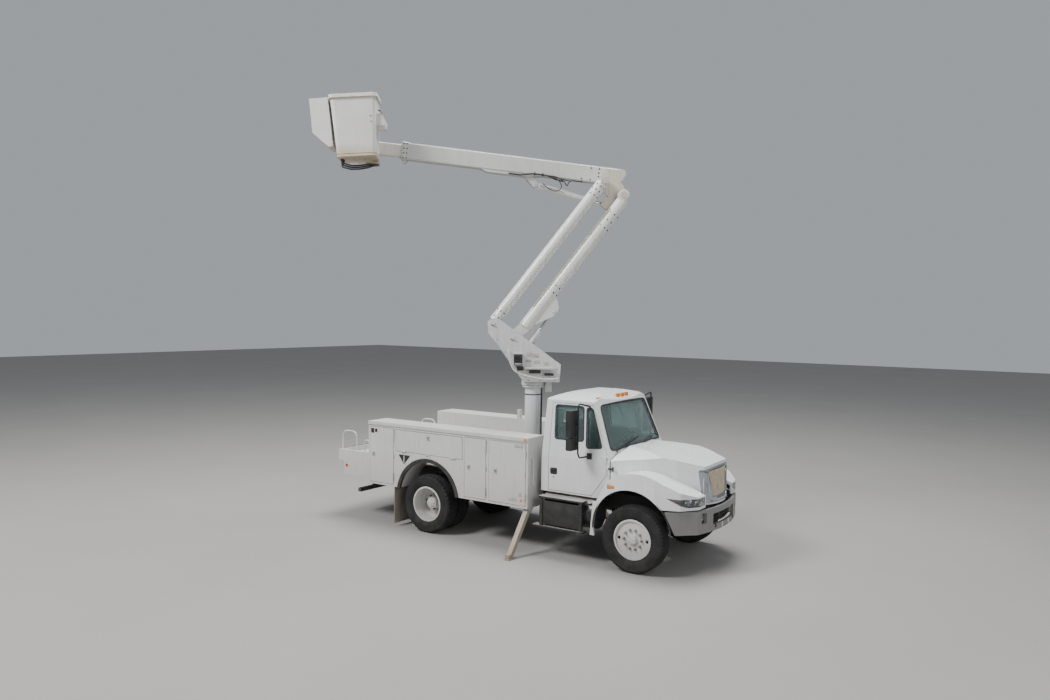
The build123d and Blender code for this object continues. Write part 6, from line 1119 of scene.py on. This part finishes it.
near_w = BOOM_W - BOOM_HALF
root = [(0.26, 0.1), (0.26, 0.03), (0.26, -0.03), (0.12, -0.1), (0.4, -0.1), (0.4, 0.1), (0.55, -0.1)]
collar = [(BOOM_LENGTH - back, aside) for back in (0.085, 0.03) for aside in (-0.12, -0.04, 0.04, 0.12)]
made("boom_bolts", "outer_boom", chassis_black, "frame_black",
     *[bolts(radius, height, [boom(*spot, BOOM_W + way * (BOOM_HALF + off)) for spot in spots], way * ACROSS)
       for radius, height, off, spots in ((0.010, 0.007, 0.0005, root), (0.009, 0.006, 0.0115, collar))
       for way in (-1, 1)])
pads = [slab(*run(BOOM_PIN, BOOM_ANGLE, 3.675, aside), BOOM_W, (0.045, 0.1, 0.012), BOOM_ANGLE, 0.003)
        for aside in (0.118, -0.118)]
made("boom_wear_pads", "outer_boom", tan_shade_paint, "castings", *pads)
# Painted highlight: a thin bright strip along the top edge of the boom's near side.
made("boom_edge_highlight", "outer_boom", inner_paint, "paint_white",
     slab(*run(BOOM_PIN, BOOM_ANGLE, 1.72, 0.1385), near_w - 0.0015, (3.6, 0.004, 0.012), BOOM_ANGLE, 0.0015))
made("hose_clips", "outer_boom", chassis_black, "frame_black",
     *[slab(*run(BOOM_PIN, BOOM_ANGLE, s, -0.118), near_w - 0.006, (0.03, 0.012, 0.05), BOOM_ANGLE, 0.003)
       for s in (1.22, 1.36)])
dress(hose_black, "boom_hoses", "bucket_hose")
loop_w = near_w - 0.03
loops = [[(1.2, -0.12, 0.0), (1.05, -0.135, -0.01), (0.93, -0.2, -0.02), (0.88, -0.3, -0.02),
          (0.95, -0.37, -0.01), (1.08, -0.35, 0.0), (1.2, -0.27, 0.02)],
         [(1.18, -0.125, 0.0), (1.0, -0.13, -0.012), (0.86, -0.19, -0.03), (0.79, -0.26, -0.03),
          (0.76, -0.2, -0.02), (0.7, -0.15, 0.0)],
         [(0.9, -0.15, 0.0), (0.78, -0.17, -0.01), (0.66, -0.16, 0.0), (0.52, -0.155, 0.03)]]
made("hose_loops", "outer_boom", hose_black, "trim_rubber",
     *[bar([boom(along, aside, loop_w + w) for along, aside, w in points], radius, bend=10)
       for points, radius in zip(loops, (0.008, 0.010, 0.009))])

# Bucket: warm grey fibreglass with a rolled tan lip, going brown towards its foot.
# It hangs on a steel mount with a pinned levelling link; its console holds the upper controls.
shell = Finish("bucket_glassfibre")
cloud, fine = shell.noise(2.4, 6.0), shell.noise(40.0, 6.0)
runs = shell.noise(10.0, 5.0, stretch=(2.4, 2.4, 0.15)).between(0.5, 0.8)
low_down = 1.0 - shell.z.between(6.33, 6.52)
shell_tone = shell.mix(cloud.between(0.35, 0.7), (0.66, 0.65, 0.62), (0.73, 0.72, 0.69))
shell_tone = shell.mix((low_down * (0.4 + cloud) * 0.9).held(), shell_tone, (0.5, 0.38, 0.22))
shell_tone = shell.mix(runs * 0.16, shell_tone, (0.4, 0.34, 0.27))
bucket_shell = shell.surface(shell_tone, 0.34 + fine * 0.12 + runs * 0.15, fine + cloud, 0.0012, 0.008,
                             {"Coat Weight": 0.25, "Coat Roughness": 0.25})
dress(bucket_shell, "bucket", "bucket_fittings")
dress(tan_shade_paint, "bucket_mount")
TILT, LEVEL_PIN = math.radians(-4.3), (2.950, 6.606)
BUCKET_W = -0.27


def tilted(points):
    """Points turned by the bucket's tilt about the levelling pin, along ACROSS."""
    away = points - lift(*LEVEL_PIN, 0.0)
    u, z, w = away @ OUT, away @ UP, away @ ACROSS
    return lift(LEVEL_PIN[0] + u * math.cos(TILT) - z * math.sin(TILT),
                LEVEL_PIN[1] + u * math.sin(TILT) + z * math.cos(TILT), w)


def tilted_shape(shape):
    """A shape whose points are turned by the bucket's tilt."""
    return tilted(shape[0]), shape[1]


def lip_bead(z, near, far, half, corner, radius, sides):
    """A bead round the bucket at a height, along a rectangle with round corners."""
    outline = dense(round_box((near, -half), (far, half), corner), 0.06)
    return piping(tilted(lift(outline[:, 0], z, BUCKET_W + outline[:, 1])), radius, (0.1, 0.2, 0.97), sides)


def edge_beads(corners, half):
    """A bead along (u, z) corners, on both sides of the bucket's middle."""
    u, z = np.array(corners).T
    return [carried(ring_profile(0.006, 8), tilted(lift(u, z, BUCKET_W + way * half))) for way in (-1, 1)]


tan_lip = mottled("bucket_lip", 13.0, 6.0, ((0.62, 0.56, 0.45), (0.42, 0.33, 0.22)), 0.45, 0.3,
                  (0.4, 0.75), 0.0008)
made("bucket_lip_roll", "bucket_mount", tan_lip, "bucket_shell",
     lip_bead(7.262, 2.5965, 3.3755, 0.3155, 0.09, 0.011, 10))
made("bucket_foot_rim", "bucket_mount", tan_lip, "bucket_shell",
     lip_bead(6.325, 2.679, 3.313, 0.266, 0.075, 0.007, 8),
     lip_bead(6.37, 2.675, 3.316, 0.2675, 0.075, 0.007, 8))
knob = [(0, 0), (0.012, 0.002), (0.019, 0.012), (0.019, 0.024), (0.011, 0.034), (0, 0.036)]
gaiter = [(0.011, 0.0), (0.024, 0.001), (0.02, 0.012), (0.013, 0.016), (0.011, 0.022)]
made("lever_knobs", "bucket_mount", black_plastic, "black_plastic",
     *[tilted_shape(turned(outline, lift(2.59, z, BUCKET_W + off), UP, 20, closed))
       for off in (-0.11, 0, 0.11) for outline, z, closed in ((knob, 7.052, False), (gaiter, 6.992, True))])
made("console_edge", "bucket_mount", tan_lip, "bucket_shell",
     *edge_beads([(2.74, 6.992), (2.6, 6.992), (2.53, 6.955), (2.5, 6.889), (2.512, 6.808), (2.74, 6.814)],
                 0.188))
# Painted light: the tan of the bead on the apron's curved bottom edge stands in for the ground's warm light
# reflected up onto it.
made("apron_edges", "bucket_mount", tan_lip, "bucket_shell",
     *edge_beads([(3.399, 7.285), (3.688, 7.276), (3.672, 6.735), (3.547, 6.603), (3.432, 6.495)], 0.2245))
made("bucket_bolts", "bucket_mount", zinc, "polished_rod",
     tilted_shape(bolts(0.010, 0.008, [lift(2.72, z, BUCKET_W - 0.304 + 0.035 * (7.316 - z))
                                       for z in (6.86, 6.95)], -ACROSS)),
     tilted_shape(bolts(0.012, 0.009, [lift(u, z, 0.0725) for z in (6.45, 7.12) for u in (2.9, 3.0)],
                        ACROSS)))

# Camera, floor and light: the photograph's viewpoint, solved from the truck's own lines.
# The floor is plain grey, and three wide lamps give the soft light of a bright sky.
VIEW_AT = np.array([5.155, -11.889, 3.764])
yaw, pitch, roll = np.radians((123.313, 2.45, 0.805))


def stand(item, right, upward, back, spot):
    """Place an object by its three axes and its spot, and put it in the scene."""
    columns = np.column_stack([right, upward, back, spot])
    item.matrix_world = mathutils.Matrix([*columns.tolist(), (0, 0, 0, 1)])
    bpy.context.scene.collection.objects.link(item)


ahead = np.array([math.cos(yaw) * math.cos(pitch), math.sin(yaw) * math.cos(pitch), -math.sin(pitch)])
level_right = np.array([math.sin(yaw), -math.cos(yaw), 0.0])
level_up = np.cross(level_right, ahead)
lens = bpy.data.cameras.new("photo_view")
lens.lens = 28.04
lens.sensor_width = 36.0
lens.clip_end = 200.0
camera = bpy.data.objects.new("photo_view", lens)
stand(camera, math.cos(roll) * level_right + math.sin(roll) * level_up,
      math.cos(roll) * level_up - math.sin(roll) * level_right, -ahead, VIEW_AT + ORIGIN)
bpy.context.scene.camera = camera
floor_material = mottled("studio_floor", 0.35, 3.0, ((0.27, 0.262, 0.25), (0.31, 0.3, 0.285)), 0.9)
floor_mesh = bpy.data.meshes.new("studio_floor")
floor_mesh.from_pydata([(-60, -60, 0), (60, -60, 0), (60, 60, 0), (-60, 60, 0)], [], [(0, 1, 2, 3)])
floor_mesh.materials.append(floor_material)
floor = bpy.data.objects.new("studio_floor", floor_mesh)
bpy.context.scene.collection.objects.link(floor)
middle = ORIGIN + (-2.5, 0.0, 2.6)
for name, spot, size, power in (("key_light", (-9.0, -14.0, 16.0), 6.0, 4200.0),
                                ("fill_light", (12.0, -8.0, 8.0), 9.0, 700.0),
                                ("top_light", (-2.0, 2.0, 18.0), 9.0, 4000.0)):
    light = bpy.data.lights.new(name, "AREA")
    light.shape = "DISK"
    light.size = size
    light.energy = power
    lamp = bpy.data.objects.new(name, light)
    back = unit(spot + ORIGIN - middle)
    across = unit(np.cross((0.0, 0.3, 1.0), back))
    stand(lamp, across, np.cross(back, across), back, spot + ORIGIN)
world = bpy.data.worlds.new("pale_sky")
bpy.context.scene.world = world
world.use_nodes = True
sky = world.node_tree.nodes["Background"]
sky.inputs["Color"].default_value = (0.88, 0.93, 1.0, 1.0)
sky.inputs["Strength"].default_value = 0.42
